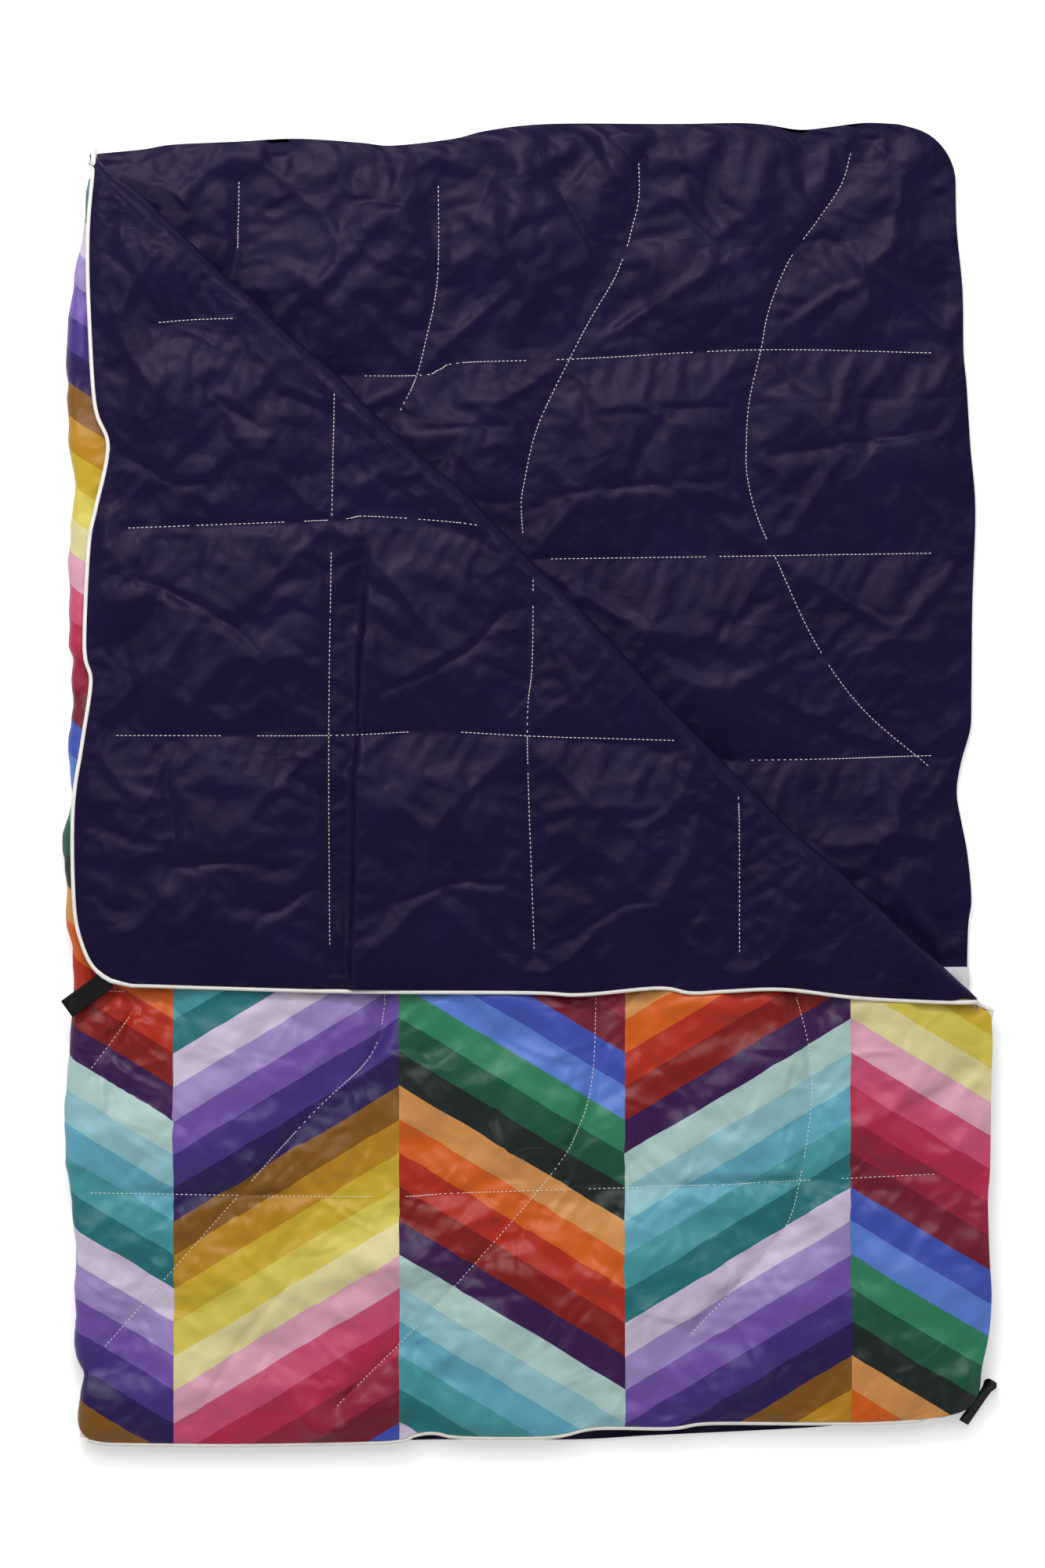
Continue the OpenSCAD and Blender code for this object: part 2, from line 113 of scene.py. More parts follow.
def smoothLine(points, step):
    # Catmull-Rom curve through the points, in steps of about the given length
    p = np.array(points, float)
    ends = np.vstack([2 * p[0] - p[1], p, 2 * p[-1] - p[-2]])
    curve = []
    for a, b, c, d in zip(ends, ends[1:], ends[2:], ends[3:]):
        n = max(1, int(round(np.linalg.norm(c - b) / step)))
        t = (np.arange(n) / n)[:, None]
        curve.append(0.5 * (2 * b + (c - a) * t + (2 * a - 5 * b + 4 * c - d) * t ** 2
                            + (3 * b - a - 3 * c + d) * t ** 3))
    return np.vstack(curve + [p[-1:]])


def edgeCurve(points):
    # an edge as a function: (place along it, place of the edge) in mm to metres
    line = smoothLine(sorted(points), 8) * mm
    return lambda v: np.interp(v, line[:, 0], line[:, 1])


def nearestOn(lines, xy):
    # distance to the nearest line, the point there and how far along the lines that is
    best = np.full(len(xy), 1e9)
    at = np.zeros((len(xy), 2))
    run = np.zeros(len(xy))
    gone = 0.0
    for line in lines:
        for p, q in zip(line[:-1], line[1:]):
            d = q - p
            t = np.clip(((xy - p) @ d) / (d @ d), 0, 1)
            foot = p + t[:, None] * d
            away = np.hypot(*(xy - foot).T)
            closer = away < best
            best[closer], at[closer] = away[closer], foot[closer]
            length = math.hypot(*d)
            run[closer] = gone + t[closer] * length
            gone += length
        gone += 1.0
    return best, at, run


def noiseAt(xy, size, seed):
    # smooth noise of about -1 to 1 with features of the given size in metres
    return np.array([noise.noise((x / size + seed, y / size - seed, seed * 1.7)) for x, y in xy])


def creaseAt(xy, size, seed):
    # sharp ridges and flat facets, as in crumpled cloth
    return np.array([noise.ridged_multi_fractal((x / size + seed, y / size, seed), 1.0, 2.1, 3, 1.0, 1.6)
                     for x, y in xy])


def corners(mesh):
    xyz = np.empty(len(mesh.vertices) * 3)
    mesh.vertices.foreach_get("co", xyz)
    return xyz.reshape(-1, 3)


def setCorners(mesh, xyz):
    mesh.vertices.foreach_set("co", np.ascontiguousarray(xyz, np.float32).ravel())
    mesh.update()


def pointNormals(mesh):
    normals = np.empty(len(mesh.vertices) * 3, np.float32)
    mesh.vertex_normals.foreach_get("vector", normals)
    return normals.reshape(-1, 3)


def eased(t):
    t = np.clip(t, 0, 1)
    return t * t * (3 - 2 * t)


def newObject(name, mesh):
    obj = bpy.data.objects.new(name, mesh)
    scene.collection.objects.link(obj)
    return obj


def baked(obj):
    # the object's mesh with its modifiers applied
    bpy.context.view_layer.update()
    made = bpy.data.meshes.new_from_object(obj.evaluated_get(bpy.context.evaluated_depsgraph_get()))
    obj.modifiers.clear()
    obj.data = made
    return made


# camera straight above, as the photograph was taken

cameraSet = {"height": 6.0, "frameHeight": 1.59, "aim": (0.0012, -0.0008)}
camera = bpy.data.objects.new("camera", bpy.data.cameras.new("camera"))
scene.collection.objects.link(camera)
camera.location = (*cameraSet["aim"], cameraSet["height"])
camera.data.sensor_width = 36
camera.data.lens = 36 * cameraSet["height"] / cameraSet["frameHeight"]
camera.data.clip_end = 50
scene.camera = camera
print("camera placed")


# quilting: sewn lines of each layer, in mm

lowerSet = {
    "right": [(-664, 440), (-600, 452), (-400, 452), (-168, 452), (-120, 456), (-72, 452), (-40, 446),
              (-9, 441), (23, 446), (55, 455), (87, 456), (182, 457), (278, 460), (341, 455), (405, 451),
              (437, 448), (500, 447), (564, 441), (627, 440), (664, 440)],
    "head": [(-450, 636), (-385, 642), (-354, 647), (-290, 650), (-227, 653), (-163, 649), (-131, 646),
             (-68, 653), (-36, 661), (28, 668), (155, 668), (219, 669), (250, 667), (282, 662), (314, 665),
             (346, 669), (378, 668), (440, 664)],
    "foot": [(-450, -656), (-300, -667), (-258, -672), (-163, -669), (-99, -665), (28, -665), (75, -664),
             (123, -661), (187, -658), (250, -655), (314, -651), (347, -645), (410, -638), (450, -630)],
    "sewn": [[(334, 639), (324, 606), (300, 570), (271, 529), (251, 480), (243, 440), (231, 387),
              (228, 342), (229, 310), (239, 270), (259, 225), (298, 142), (346, 75), (413, 17)],
             [(119, 629), (119, 592), (112, 562), (107, 543), (97, 517), (88, 500), (71, 472), (52, 436),
              (24, 379), (12, 347), (4, 310), (0, 277), (10, 220), (60, 120), (140, 10), (180, -120),
              (140, -260), (70, -400), (60, -560)],
             [(-84, 606), (-84, 529), (-88, 488), (-96, 452), (-106, 413), (-124, 375), (-190, 250),
              (-200, 120), (-130, -60), (-60, -240), (-120, -420), (-180, -600)],
             [(-286, 610), (-287, 564), (-292, 520), (-330, 400), (-400, 260)],
             [(-235, 413), (-107, 413), (-83, 419), (-60, 426), (60, 430), (239, 439), (416, 436)],
             [(-420, 222), (20, 227), (416, 233)],
             [(-420, 20), (207, 23), (416, 28)],
             [(-420, -190), (400, -190)],
             [(-420, -402), (400, -402)]],
    "creases": [(1.6, [(-110, 357), (-50, 361), (4, 361)]), (1.8, [(48, 371), (180, 380), (320, 387),
                                                                   (440, 391)]),
                (2.2, [(243, 330), (328, 343), (421, 357)]), (2.0, [(28, 291), (113, 300), (211, 306)]),
                (1.8, [(-57, 284), (-9, 286)]), (2.4, [(36, 602), (64, 557), (91, 509)]),
                (2.2, [(85, 655), (113, 630), (170, 570), (219, 521)]), (2.0, [(348, 650), (369, 630),
                                                                               (409, 607)]),
                (2.0, [(-176, 593), (-130, 585), (-88, 570)]), (1.8, [(150, 640), (200, 590), (262, 552)]),
                (1.6, [(330, 560), (352, 520), (364, 470)]), (1.6, [(270, 590), (300, 560), (318, 530)])],
    "loft": 9, "reach": 46, "slack": 0.03, "wrinkles": (50, 0.9), "gather": 0.6, "slant": 0.3, "crease": 0.4,
    "facets": {"high": (4.2, 1.7), "least": 0.14, "way": (0, 1),
               "from": 0.40, "to": 0.50, "shift": (0.75, 0.75)},
    "seed": 3.1,
}
upperSet = {
    "right": [(-664, 468), (-620, 464), (-597, 466), (-573, 471), (-549, 474), (-518, 475), (-486, 473),
              (-422, 471), (-390, 473), (-295, 473), (-263, 473), (-231, 469), (-180, 456), (600, 452)],
    "foot": [(-460, -655), (-430, -664), (-400, -666), (-284, -667), (-133, -664), (-115, -659), (-98, -655),
             (-84, -655), (-61, -659), (28, -659), (75, -650), (150, -650), (188, -645), (280, -645),
             (347, -645), (392, -643), (436, -640), (470, -640)],
    "fold": [(-664, -443), (-645, -447), (-613, -444), (-581, -448), (-550, -446), (-518, -447), (-486, -449),
             (-454, -453), (-422, -456), (-390, -459), (-295, -459), (-231, -456), (-168, -457),
             (-72, -460), (-40, -459), (23, -455), (55, -458), (118, -455), (150, -457), (230, -460),
             (278, -457), (341, -455), (405, -458), (437, -456), (500, -453), (531, -449), (580, -441),
             (640, -436)],
    "sewn": [[(-393, -215), (-393, -231), (-440, -296)],
             [(-139, -205), (-139, -231), (-155, -279), (-227, -351), (-424, -573)],
             [(75, -205), (75, -231), (72, -295), (60, -343), (28, -398), (-83, -525), (-187, -630)],
             [(272, -200), (278, -216), (294, -295), (282, -398), (258, -462), (171, -557)],
             [(-436, -210), (-400, -210)],
             [(-436, -414), (-149, -418), (-60, -414), (190, -406), (250, -403), (418, -395)]],
    "creases": [(2.0, [(-420, -300), (-350, -340), (-300, -390)]), (2.0, [(-60, -260), (-30, -320),
                                                                          (-10, -390)]),
                (1.8, [(120, -270), (180, -330), (200, -380)]), (2.0, [(-330, -640), (-280, -560),
                                                                       (-230, -500)]),
                (1.8, [(330, -430), (350, -520), (400, -600)]), (1.8, [(-20, -600), (40, -560),
                                                                       (110, -480)])],
    "loft": 10, "reach": 30, "slack": 0.07, "wrinkles": (260, 1.7),
    "gather": 2.6, "slant": 0.8, "crease": 0.8,
    "facets": {"high": (6.5, 2.6), "least": 0.8, "way": (0, -1), "from": 0.0, "to": 0.3, "shift": (0.6, 0.9)},
    "seed": 7.7,
}
flapSet = {
    "left": [(-226, -434), (-184, -437), (-136, -448), (-33, -450), (39, -441), (103, -433), (134, -440),
             (238, -437), (278, -430), (341, -418), (381, -431), (476, -436), (556, -437), (643, -434),
             (700, -434)],
    "foot": [(-440, -203), (-390, -202), (-322, -204), (-171, -208), (7, -209), (60, -211), (139, -204),
             (171, -209), (207, -207), (266, -205), (346, -214), (440, -219), (520, -220)],
    "sewn": [[(-188, 405), (-191, 263), (-194, 48), (-193, -164)],
             [(12, 210), (11, 120), (6, 48), (13, -168)],
             [(212, 14), (219, -20), (220, -171)],
             [(-397, 257), (-195, 265), (-155, 269), (-60, 262), (-25, 254)],
             [(-409, 48), (-195, 48), (-90, 52), (20, 47), (155, 43)],
             [(-366, 464), (-330, 467), (-290, 468)]],
    "creases": [(3.0, [(-392, 207), (-350, 192), (-301, 165), (-272, 142), (-262, 123)]),
                (2.4, [(-431, 156), (-415, 126), (-386, 100)]), (2.2, [(-360, 29), (-356, -6), (-350, -39),
                                                                       (-353, -72)]),
                (2.4, [(-347, -84), (-300, -80), (-262, -81)]), (2.2, [(-256, -137), (-217, -110),
                                                                       (-197, -98)]),
                (2.2, [(-282, -190), (-272, -149), (-250, -123)]), (2.0, [(-340, 420), (-290, 380),
                                                                          (-240, 350)]),
                (1.8, [(-140, 90), (-60, 130), (0, 190)]), (1.6, [(-120, -120), (-60, -100), (-10, -105)]),
                (1.8, [(60, -150), (110, -120), (160, -125)]), (1.8, [(-400, 330), (-340, 300),
                                                                      (-300, 310)])],
    "trough": {"left": -199, "edge": [(-150, 250), (-158, 156), (-164, 25),
                                      (-170, -195)], "lip": 6, "lipWide": 22,
               "sink": 3, "floor": 0.6, "fade": 70},
    "cornerR": 42,
    "loft": 10, "reach": 42, "slack": 0.04, "wrinkles": (50, 0.9), "gather": 1.0, "slant": 0.4, "crease": 0.6,
    "facets": {"high": (4.2, 1.3), "least": 0.2, "way": (-0.7, 0.7),
               "from": 0.1, "to": 0.5, "shift": (0.8, 0.55)},
    "seed": 12.3,
}
quiltSet = {"cell": 5, "seam": 5, "wall": 4, "cornerR": 56, "footR": 40, "fade": 130, "snap": 0.55,
            "hingeRoom": 3, "hingeRise": 24, "hingeFade": 14}
puffSet = {"rim": 4, "swell": 0.18, "swellSize": 160, "crumpleSize": 110, "crumpleRise": 1.4, "lowest": -3}
pleatSet = {"pitch": 11, "long": 50, "peak": 10, "rim": 20}
grooveSet = {"wide": 4.5, "wander": 3, "wanderSize": 17, "taper": 0.6, "even": 0.75, "uneven": 0.6, "patch": 35,
             "rise": 1.5}

cell = quiltSet["cell"] * mm


def sewnLines(made):
    return [smoothLine(line, 10) * mm for line in made["sewn"]]


def flatGrid(low, high):
    # a flat grid of cloth between two corners
    nx = int(round((high[0] - low[0]) / cell))
    ny = int(round((high[1] - low[1]) / cell))
    bm = bmesh.new()
    bmesh.ops.create_grid(bm, x_segments=nx, y_segments=ny, size=0.5)
    bmesh.ops.scale(bm, vec=(high[0] - low[0], high[1] - low[1], 1), verts=bm.verts)
    bmesh.ops.translate(bm, vec=((low[0] + high[0]) / 2, (low[1] + high[1]) / 2, 0), verts=bm.verts)
    return bm


def cutAlong(bm, total, clear):
    # cuts the grid along the line where x + y equals the total
    bmesh.ops.bisect_plane(bm, geom=bm.verts[:] + bm.edges[:] + bm.faces[:], dist=1e-5,
                           plane_co=(total / 2, total / 2, 0), plane_no=(1, 1, 0), clear_outer=clear)


def toMesh(bm, name):
    mesh = bpy.data.meshes.new(name)
    bm.to_mesh(mesh)
    bm.free()
    return mesh


def roundCorner(d, r):
    # how far a round corner draws an edge in, at a distance from the next edge
    return np.where(d < r, r - np.sqrt(np.maximum(r * r - np.maximum(r - d, 0) ** 2, 0)), 0)


def fadeIn(d):
    return np.exp(-np.maximum(d, 0) / (quiltSet["fade"] * mm))


def creaseLines(made):
    # creases wander a little from side to side
    lines = []
    for _, line in made["creases"]:
        line = smoothLine(line, 9)
        size = grooveSet["wanderSize"]
        drift = [noise.noise_vector((x / size, y / size, made["seed"]))[:2] for x, y in line]
        lines.append((line + grooveSet["wander"] * np.array(drift)) * mm)
    return lines


def snapToSewn(xy, made):
    # grid points beside a crease or a sewn line move onto it
    lines = creaseLines(made)
    if "trough" in made:
        lines.append(smoothLine(made["trough"]["edge"], 10) * mm)
    gap, at, _ = nearestOn(lines, xy)
    close = gap < quiltSet["snap"] * cell
    xy[close] = at[close]
    gap, at, run = nearestOn(sewnLines(made), xy)
    close = gap < quiltSet["snap"] * cell
    xy[close] = at[close]
    gap[close] = 0
    return gap, run, close


def pleated(gap, run, edgeGap, made):
    # gathers stand square to the thread and die away from it
    pitch, long = pleatSet["pitch"] * mm, pleatSet["long"] * mm
    wave = np.array([noise.noise(((r + made["slant"] * g) / pitch, g / long, made["seed"]))
                     for r, g in zip(run, gap)])
    near = gap / (pleatSet["peak"] * mm)
    inner = np.minimum(edgeGap / (pleatSet["rim"] * mm), 1)
    return made["gather"] * mm * wave * near * np.exp(1 - near) * inner


def grooved(xy, rise, made):
    # depth of the creases: sharp in the middle, a little raised beside it, uneven along the way
    depth = np.zeros(len(xy))
    for (deep, _), line in zip(made["creases"], creaseLines(made)):
        d, _, run = nearestOn([line], xy)
        d = d / (grooveSet["wide"] * mm)
        long = np.sum(np.hypot(*np.diff(line, axis=0).T))
        taper = np.sin(np.pi * np.clip(run / long, 0.03, 0.97)) ** grooveSet["taper"]
        patches = np.array([noise.noise((r / (grooveSet["patch"] * mm), deep, long * 20)) for r in run])
        uneven = grooveSet["even"] + grooveSet["uneven"] * patches
        depth += deep * mm * (1 - 0.5 * d) * np.exp(-d) * taper * uneven
    return depth * np.minimum(rise * grooveSet["rise"], 1)


def tucked(height, xy, trough):
    # a flat tuck beside the first column, with a sharp edge to its right
    edge = smoothLine(trough["edge"], 10) * mm
    edge = edge[np.argsort(edge[:, 1])]
    x, y = xy.T
    left, top = trough["left"] * mm, edge[-1, 1]
    right = np.interp(y, edge[:, 1], edge[:, 0])
    inside = (x > left) & (x < right - mm) & (y < top)
    full = np.clip((top - y) / (trough["fade"] * mm), 0, 1)
    wedge = trough["sink"] * mm * (x - left) / (right - left)
    sink = (np.maximum(height - trough["floor"] * mm, 0) + wedge) * full
    lip = trough["lip"] * mm * np.exp(-np.abs(x - right) / (trough["lipWide"] * mm)) * full
    return np.where(inside, height - sink, height + np.where(x > right - mm, lip, 0))


def puffed(gap, run, edgeGap, made, xy):
    # height of the padding above a sewn line, with the creases that the cloth has been given
    rise = 1 - np.exp(-np.minimum(gap, edgeGap + puffSet["rim"] * mm) / (made["reach"] * mm))
    swell = 1 + puffSet["swell"] * noiseAt(xy, puffSet["swellSize"] * mm, made["seed"])
    crumple = creaseAt(xy, puffSet["crumpleSize"] * mm, made["seed"]) - 1.0
    height = made["loft"] * mm * rise * swell
    height += made["crease"] * mm * crumple * np.minimum(rise * puffSet["crumpleRise"], 1)
    height += pleated(gap, run, edgeGap, made) - grooved(xy, rise, made)
    if "trough" in made:
        height = tucked(height, xy, made["trough"])
    return np.maximum(height, puffSet["lowest"] * mm)


def attach(mesh, name, values):
    mesh.attributes.new(name, "FLOAT", "POINT").data.foreach_set("value", np.asarray(values, np.float32))


def attached(mesh, name):
    values = np.empty(len(mesh.vertices), np.float32)
    mesh.attributes[name].data.foreach_get("value", values)
    return values


drapeSet = {"frames": 20, "cap": 8, "hold": 0.08, "foldHold": 0.6, "foldFade": 18, "gather": 45}
clothSet = {"quality": 4, "mass": 0.08, "tension_stiffness": 25, "compression_stiffness": 25,
            "shear_stiffness": 12, "bending_stiffness": 0.6, "air_damping": 2, "pin_stiffness": 1.0,
            "shrink_min": -0.012, "vertex_group_mass": "held", "vertex_group_shrink": "gathered"}


def drape(obj, pinned, made):
    # cloth a little larger than its place, held at the sewn lines, wrinkles over soft padding
    start = corners(obj.data)
    group = obj.vertex_groups.new(name="held")
    group.add(np.where(pinned)[0].tolist(), 1.0, "REPLACE")
    fold = np.exp(np.minimum(attached(obj.data, "past"), 0) / (drapeSet["foldFade"] * mm))
    hold = drapeSet["hold"] + drapeSet["foldHold"] * fold  # a fold keeps its form
    for i in np.where(~pinned)[0].tolist():
        group.add([i], float(hold[i]), "REPLACE")
    gather = obj.vertex_groups.new(name="gathered")
    for i, near in enumerate(np.exp(-attached(obj.data, "gap") / (drapeSet["gather"] * mm))):
        gather.add([i], float(near), "REPLACE")
    cloth = obj.modifiers.new("cloth", "CLOTH").settings
    for name, value in clothSet.items():
        setattr(cloth, name, value)
    cloth.shrink_max = -made["slack"]
    cloth.effector_weights.gravity = 0
    scene.frame_start, scene.frame_end = 1, drapeSet["frames"]
    for f in range(1, drapeSet["frames"] + 1):
        scene.frame_set(f)
    mesh = baked(obj)
    move = corners(mesh) - start
    far = np.linalg.norm(move, axis=1, keepdims=True)
    print(obj.name, "moved", round(float(np.mean(far)) / mm, 2), "mm, at most", round(float(far.max()) / mm, 1))
    setCorners(mesh, start + move * np.minimum(1, drapeSet["cap"] * mm / np.maximum(far, 1e-9)))
    scene.frame_set(1)


# the three layers of the quilt and its two folds

def spreadCloth(name, low, high, made, base, shape, cuts, past, openEnd, toQuilt):
    # flat grid, shaped to its outline and puffed between its sewn lines; height is above the base
    bm = flatGrid(low, high)
    for total, clear in cuts:
        cutAlong(bm, total, clear)
    mesh = toMesh(bm, name)
    flat = corners(mesh)[:, :2]
    beyond = past(flat)
    xy = shape(flat.copy())
    uv = toQuilt(xy)
    free = xy.copy()
    gap, run, sewn = snapToSewn(xy, made)
    # sewn lines stop short of a hinge, where the padding stands full
    atHinge = beyond > -quiltSet["hingeRoom"] * mm
    xy[atHinge] = free[atHinge]
    sewn &= ~atHinge
    full = np.exp(np.minimum(beyond, 0) / (quiltSet["hingeFade"] * mm))
    gap = np.maximum(gap, quiltSet["hingeRise"] * mm * full)
    counts = {}
    for p in mesh.polygons:
        for k in p.edge_keys:
            counts[k] = counts.get(k, 0) + 1
    ends = openEnd(flat)
    rimPairs = [k for k, n in counts.items() if n == 1 and not (ends[k[0]] and ends[k[1]])]
    rim = np.zeros(len(flat), bool)
    rim[np.array(rimPairs).ravel()] = True
    rimGap = nearestOn([xy[list(k)] for k in rimPairs[::2]], xy)[0]
    rimGap[rim] = 0
    z = base + quiltSet["seam"] * mm + puffed(gap, run, rimGap, made, xy)
    layer = mesh.uv_layers.new(name="flat")
    index = np.empty(len(mesh.loops), int)
    mesh.loops.foreach_get("vertex_index", index)
    layer.data.foreach_set("uv", uv[index].astype(np.float32).ravel())
    attach(mesh, "past", beyond)
    attach(mesh, "gap", gap)
    attach(mesh, "rimGap", rimGap)
    return mesh, xy, z, beyond, sewn | rim | (ends & (beyond > 0))


facetSet = {"spread": (50, 20), "step": 2.5, "across": 1.6, "soften": 1, "seed": 5, "fade": 12, "thread": 5,
            "rim": 14, "settle": 0.1}
wrinkleSet = {"slant": (0.5, 1.3), "long": (25, 75), "bend": 0.3, "wide": (2.6, 4.2), "tall": (0.5, 1.2),
              "dip": 0.6}


def facetMap(spread, seed):
    # a sheet of flat triangles over scattered points, as its heights on a fine grid
    draw = np.random.default_rng(seed)
    n = int(facetSet["across"] / spread) + 2
    place = np.stack(np.meshgrid(np.arange(-1, n), np.arange(-1, n)), -1).reshape(-1, 2)
    place = (place + draw.uniform(-0.45, 0.45, place.shape)) * spread
    high = draw.uniform(-1, 1, len(place))
    points, _, faces, origin, _, _ = delaunay_2d_cdt([Vector(p) for p in place], [], [], 0, 1e-7)
    sheet = BVHTree.FromPolygons([(*p, high[o[0]]) for p, o in zip(points, origin)], faces)
    steps = np.arange(0, facetSet["across"], facetSet["step"] * mm)
    heights = np.array([[sheet.ray_cast((x, y, 2), (0, 0, -1))[0].z for x in steps] for y in steps])
    last = len(steps) - 1
    around = [(a, b) for a in (-1, 0, 1) for b in (-1, 0, 1)]
    for _ in range(facetSet["soften"]):
        heights[1:-1, 1:-1] = sum(heights[1 + a:last + a, 1 + b:last + b] for a, b in around) / len(around)
    return heights


facetMaps = [facetMap(spread * mm, facetSet["seed"] + i) for i, spread in enumerate(facetSet["spread"])]
print("facets made")


def wrinkled(xy, made):
    # short sharp folds: every other one slants away from a sewn line, the rest lie anywhere
    draw = np.random.default_rng(int(made["seed"] * 10))
    lines = sewnLines(made)
    low, high = np.vstack(lines).min(0), np.vstack(lines).max(0)
    count, tall = made["wrinkles"]
    lift = np.zeros(len(xy))
    for i in range(count):
        line = lines[draw.integers(len(lines))]
        at = draw.integers(1, len(line) - 1) if len(line) > 2 else 1
        way = line[at] - line[at - 1]
        turn = math.atan2(way[1], way[0]) + draw.choice((-1, 1)) * draw.uniform(*wrinkleSet["slant"])
        start, long = line[at], draw.uniform(*wrinkleSet["long"]) * mm
        if i % 2:
            start, turn = draw.uniform(low, high), draw.uniform(0, 2 * np.pi)
        run = (xy - start) @ (math.cos(turn), math.sin(turn))
        bend = draw.normal(0, wrinkleSet["bend"]) * run * run / long
        across = (xy - start) @ (-math.sin(turn), math.cos(turn)) - bend
        fade = np.sin(np.pi * np.clip(run / long, 0, 1)) ** 0.7
        wide = draw.uniform(*wrinkleSet["wide"]) * mm
        dip = wrinkleSet["dip"] * np.exp(-np.abs(across - 2 * wide) / wide)
        crest = np.exp(-np.abs(across) / wide) - dip
        lift += tall * mm * draw.uniform(*wrinkleSet["tall"]) * crest * fade
    return lift


def crumpled(mesh, made, base):
    # flat facets with soft edges, as satin crumples; strongest towards the part that is handled most
    facets = made["facets"]
    xyz = corners(mesh)
    normals = pointNormals(mesh)
    gap, rimGap, past = (attached(mesh, name) for name in ("gap", "rimGap", "past"))
    share = (xyz[:, :2] @ np.array(facets["way"]) - facets["from"]) / (facets["to"] - facets["from"])
    share = facets["least"] + (1 - facets["least"]) * np.clip(share, 0, 1)
    share *= np.minimum(np.minimum(gap, rimGap) / (facetSet["fade"] * mm), 1)
    at = (xyz[:, :2] + np.array(facets["shift"])) / (facetSet["step"] * mm)
    whole = np.floor(at).astype(int)
    i, j = whole.T
    u, v = (at - whole).T
    for heights, high in zip(facetMaps, facets["high"]):
        near = heights[j, i] * (1 - u) + heights[j, i + 1] * u
        far = heights[j + 1, i] * (1 - u) + heights[j + 1, i + 1] * u
        xyz += (high * mm * share * (near * (1 - v) + far * v))[:, None] * normals
    flat = np.minimum(rimGap / (facetSet["fade"] * mm), 1) * (past <= 0)
    flat = np.minimum(flat, np.minimum(gap / (facetSet["thread"] * mm), 1))
    xyz[:, 2] += wrinkled(xyz[:, :2], made) * flat
    rim = (rimGap < facetSet["rim"] * mm) & (past <= 0)
    edge = base + (quiltSet["seam"] - facetSet["settle"]) * mm
    xyz[rim, 2] = np.maximum(xyz[rim, 2], edge)  # piping fills the edge
    setCorners(mesh, xyz)
    return xyz


def rolled(foot, out, z, beyond, length, depth, low):
    # cloth past a hinge line goes round a half ellipse, down to a low height
    turn = np.pi * np.clip(beyond / length, 0, 1)
    middle, half = (z + low) / 2, (z - low) / 2
    around = beyond > 0
    at = foot + (depth * np.sin(turn))[:, None] * out
    return around, at, middle + half * np.cos(turn)


def smoothed(obj):
    more = obj.modifiers.new("smooth", "SUBSURF")
    more.levels = more.render_levels = 1
    return baked(obj)


def splitOff(mesh, name, wantStrip):
    bm = bmesh.new()
    bm.from_mesh(mesh)
    layer = bm.verts.layers.float["past"]
    drop = [f for f in bm.faces if (sum(v[layer] for v in f.verts) > 1e-7) != wantStrip]
    bmesh.ops.delete(bm, geom=drop, context="FACES")
    return toMesh(bm, name)


def thicken(obj, top, under, underside=None):
    # closes a cloth into a padded layer, with its own cloth below
    mesh = obj.data
    n = len(mesh.vertices)
    normals = np.empty(n * 3, np.float32)
    mesh.attributes["seamNormal"].data.foreach_get("vector", normals)
    mesh.materials.append(top)
    mesh.materials.append(under)
    solid = obj.modifiers.new("solid", "SOLIDIFY")
    solid.thickness = quiltSet["wall"] * mm
    solid.offset = -1
    solid.material_offset = 1
    mesh = baked(obj)
    if underside:
        xyz = corners(mesh)
        xyz[n:] = underside(xyz[:n], attached(mesh, "gap")[:n], attached(mesh, "rimGap")[:n])
        setCorners(mesh, xyz)
    mesh.shade_smooth()
    both = np.zeros((len(mesh.vertices), 3), np.float32)
    both[:n] = normals.reshape(-1, 3)
    mesh.normals_split_custom_set_from_vertices(both)
    for name in ("past", "gap", "rimGap", "seamNormal"):
        mesh.attributes.remove(mesh.attributes[name])


def keepNormals(mesh):
    # the joint between a layer and its fold is shaded as one cloth
    kept = mesh.attributes.new("seamNormal", "FLOAT_VECTOR", "POINT")
    kept.data.foreach_set("vector", pointNormals(mesh).ravel())


# outline of each layer

gridSet = {"clear": 0.3, "lower": (450, -660, 664), "upper": (470, -655, 640), "flap": (-436, -212),
           "sideCells": 8, "cornerCells": 13, "spareCells": 14}
sideStrip = gridSet["sideCells"] * cell  # length of cloth that goes round the side fold
cornerStrip = gridSet["cornerCells"] * cell / root2  # and round the corner fold
lowerEdges = {side: edgeCurve(lowerSet[side]) for side in ("right", "head", "foot")}
upperEdges = {side: edgeCurve(upperSet[side]) for side in ("right", "foot", "fold")}
flapEdges = {side: edgeCurve(flapSet[side]) for side in ("left", "foot")}
right, foot, head = (v * mm for v in gridSet["lower"])
lowerLow, lowerHigh = (sideX + gridSet["clear"] * mm, foot), (right, head)
right, foot, head = (v * mm for v in gridSet["upper"])
upperLow, upperHigh = (sideX - sideStrip, foot), (sideX + cell * round((right - sideX) / cell), head)
# the flap's grid is set so that the corner fold runs through its points
left, foot = (v * mm for v in gridSet["flap"])
flapCells = round((cornerSum - left - foot) / cell)
flapLow = (left, cornerSum - left - flapCells * cell)
flapHigh = tuple(v + (flapCells + gridSet["spareCells"]) * cell for v in flapLow)
alongLow, alongHigh = (2 * flapLow[0] - cornerSum) / root2, (cornerSum - 2 * flapLow[1]) / root2
foldSet = {"flap": [(-790, -33), (-700, -30), (-424, -19), (-151, -10), (127, -19), (439, -7), (520, -7)],
           "upper": [(-790, -42), (-700, -38), (-424, -21), (-151, -10), (127, -19), (380, -8), (439, 1),
                     (520, 3)],
           "depth": 16, "uneven": 3, "unevenSize": 110, "unevenSeed": 4.4, "slide": 41, "fade": 60, "ends": 200,
           "pipingRoom": 4, "roomOver": 300}
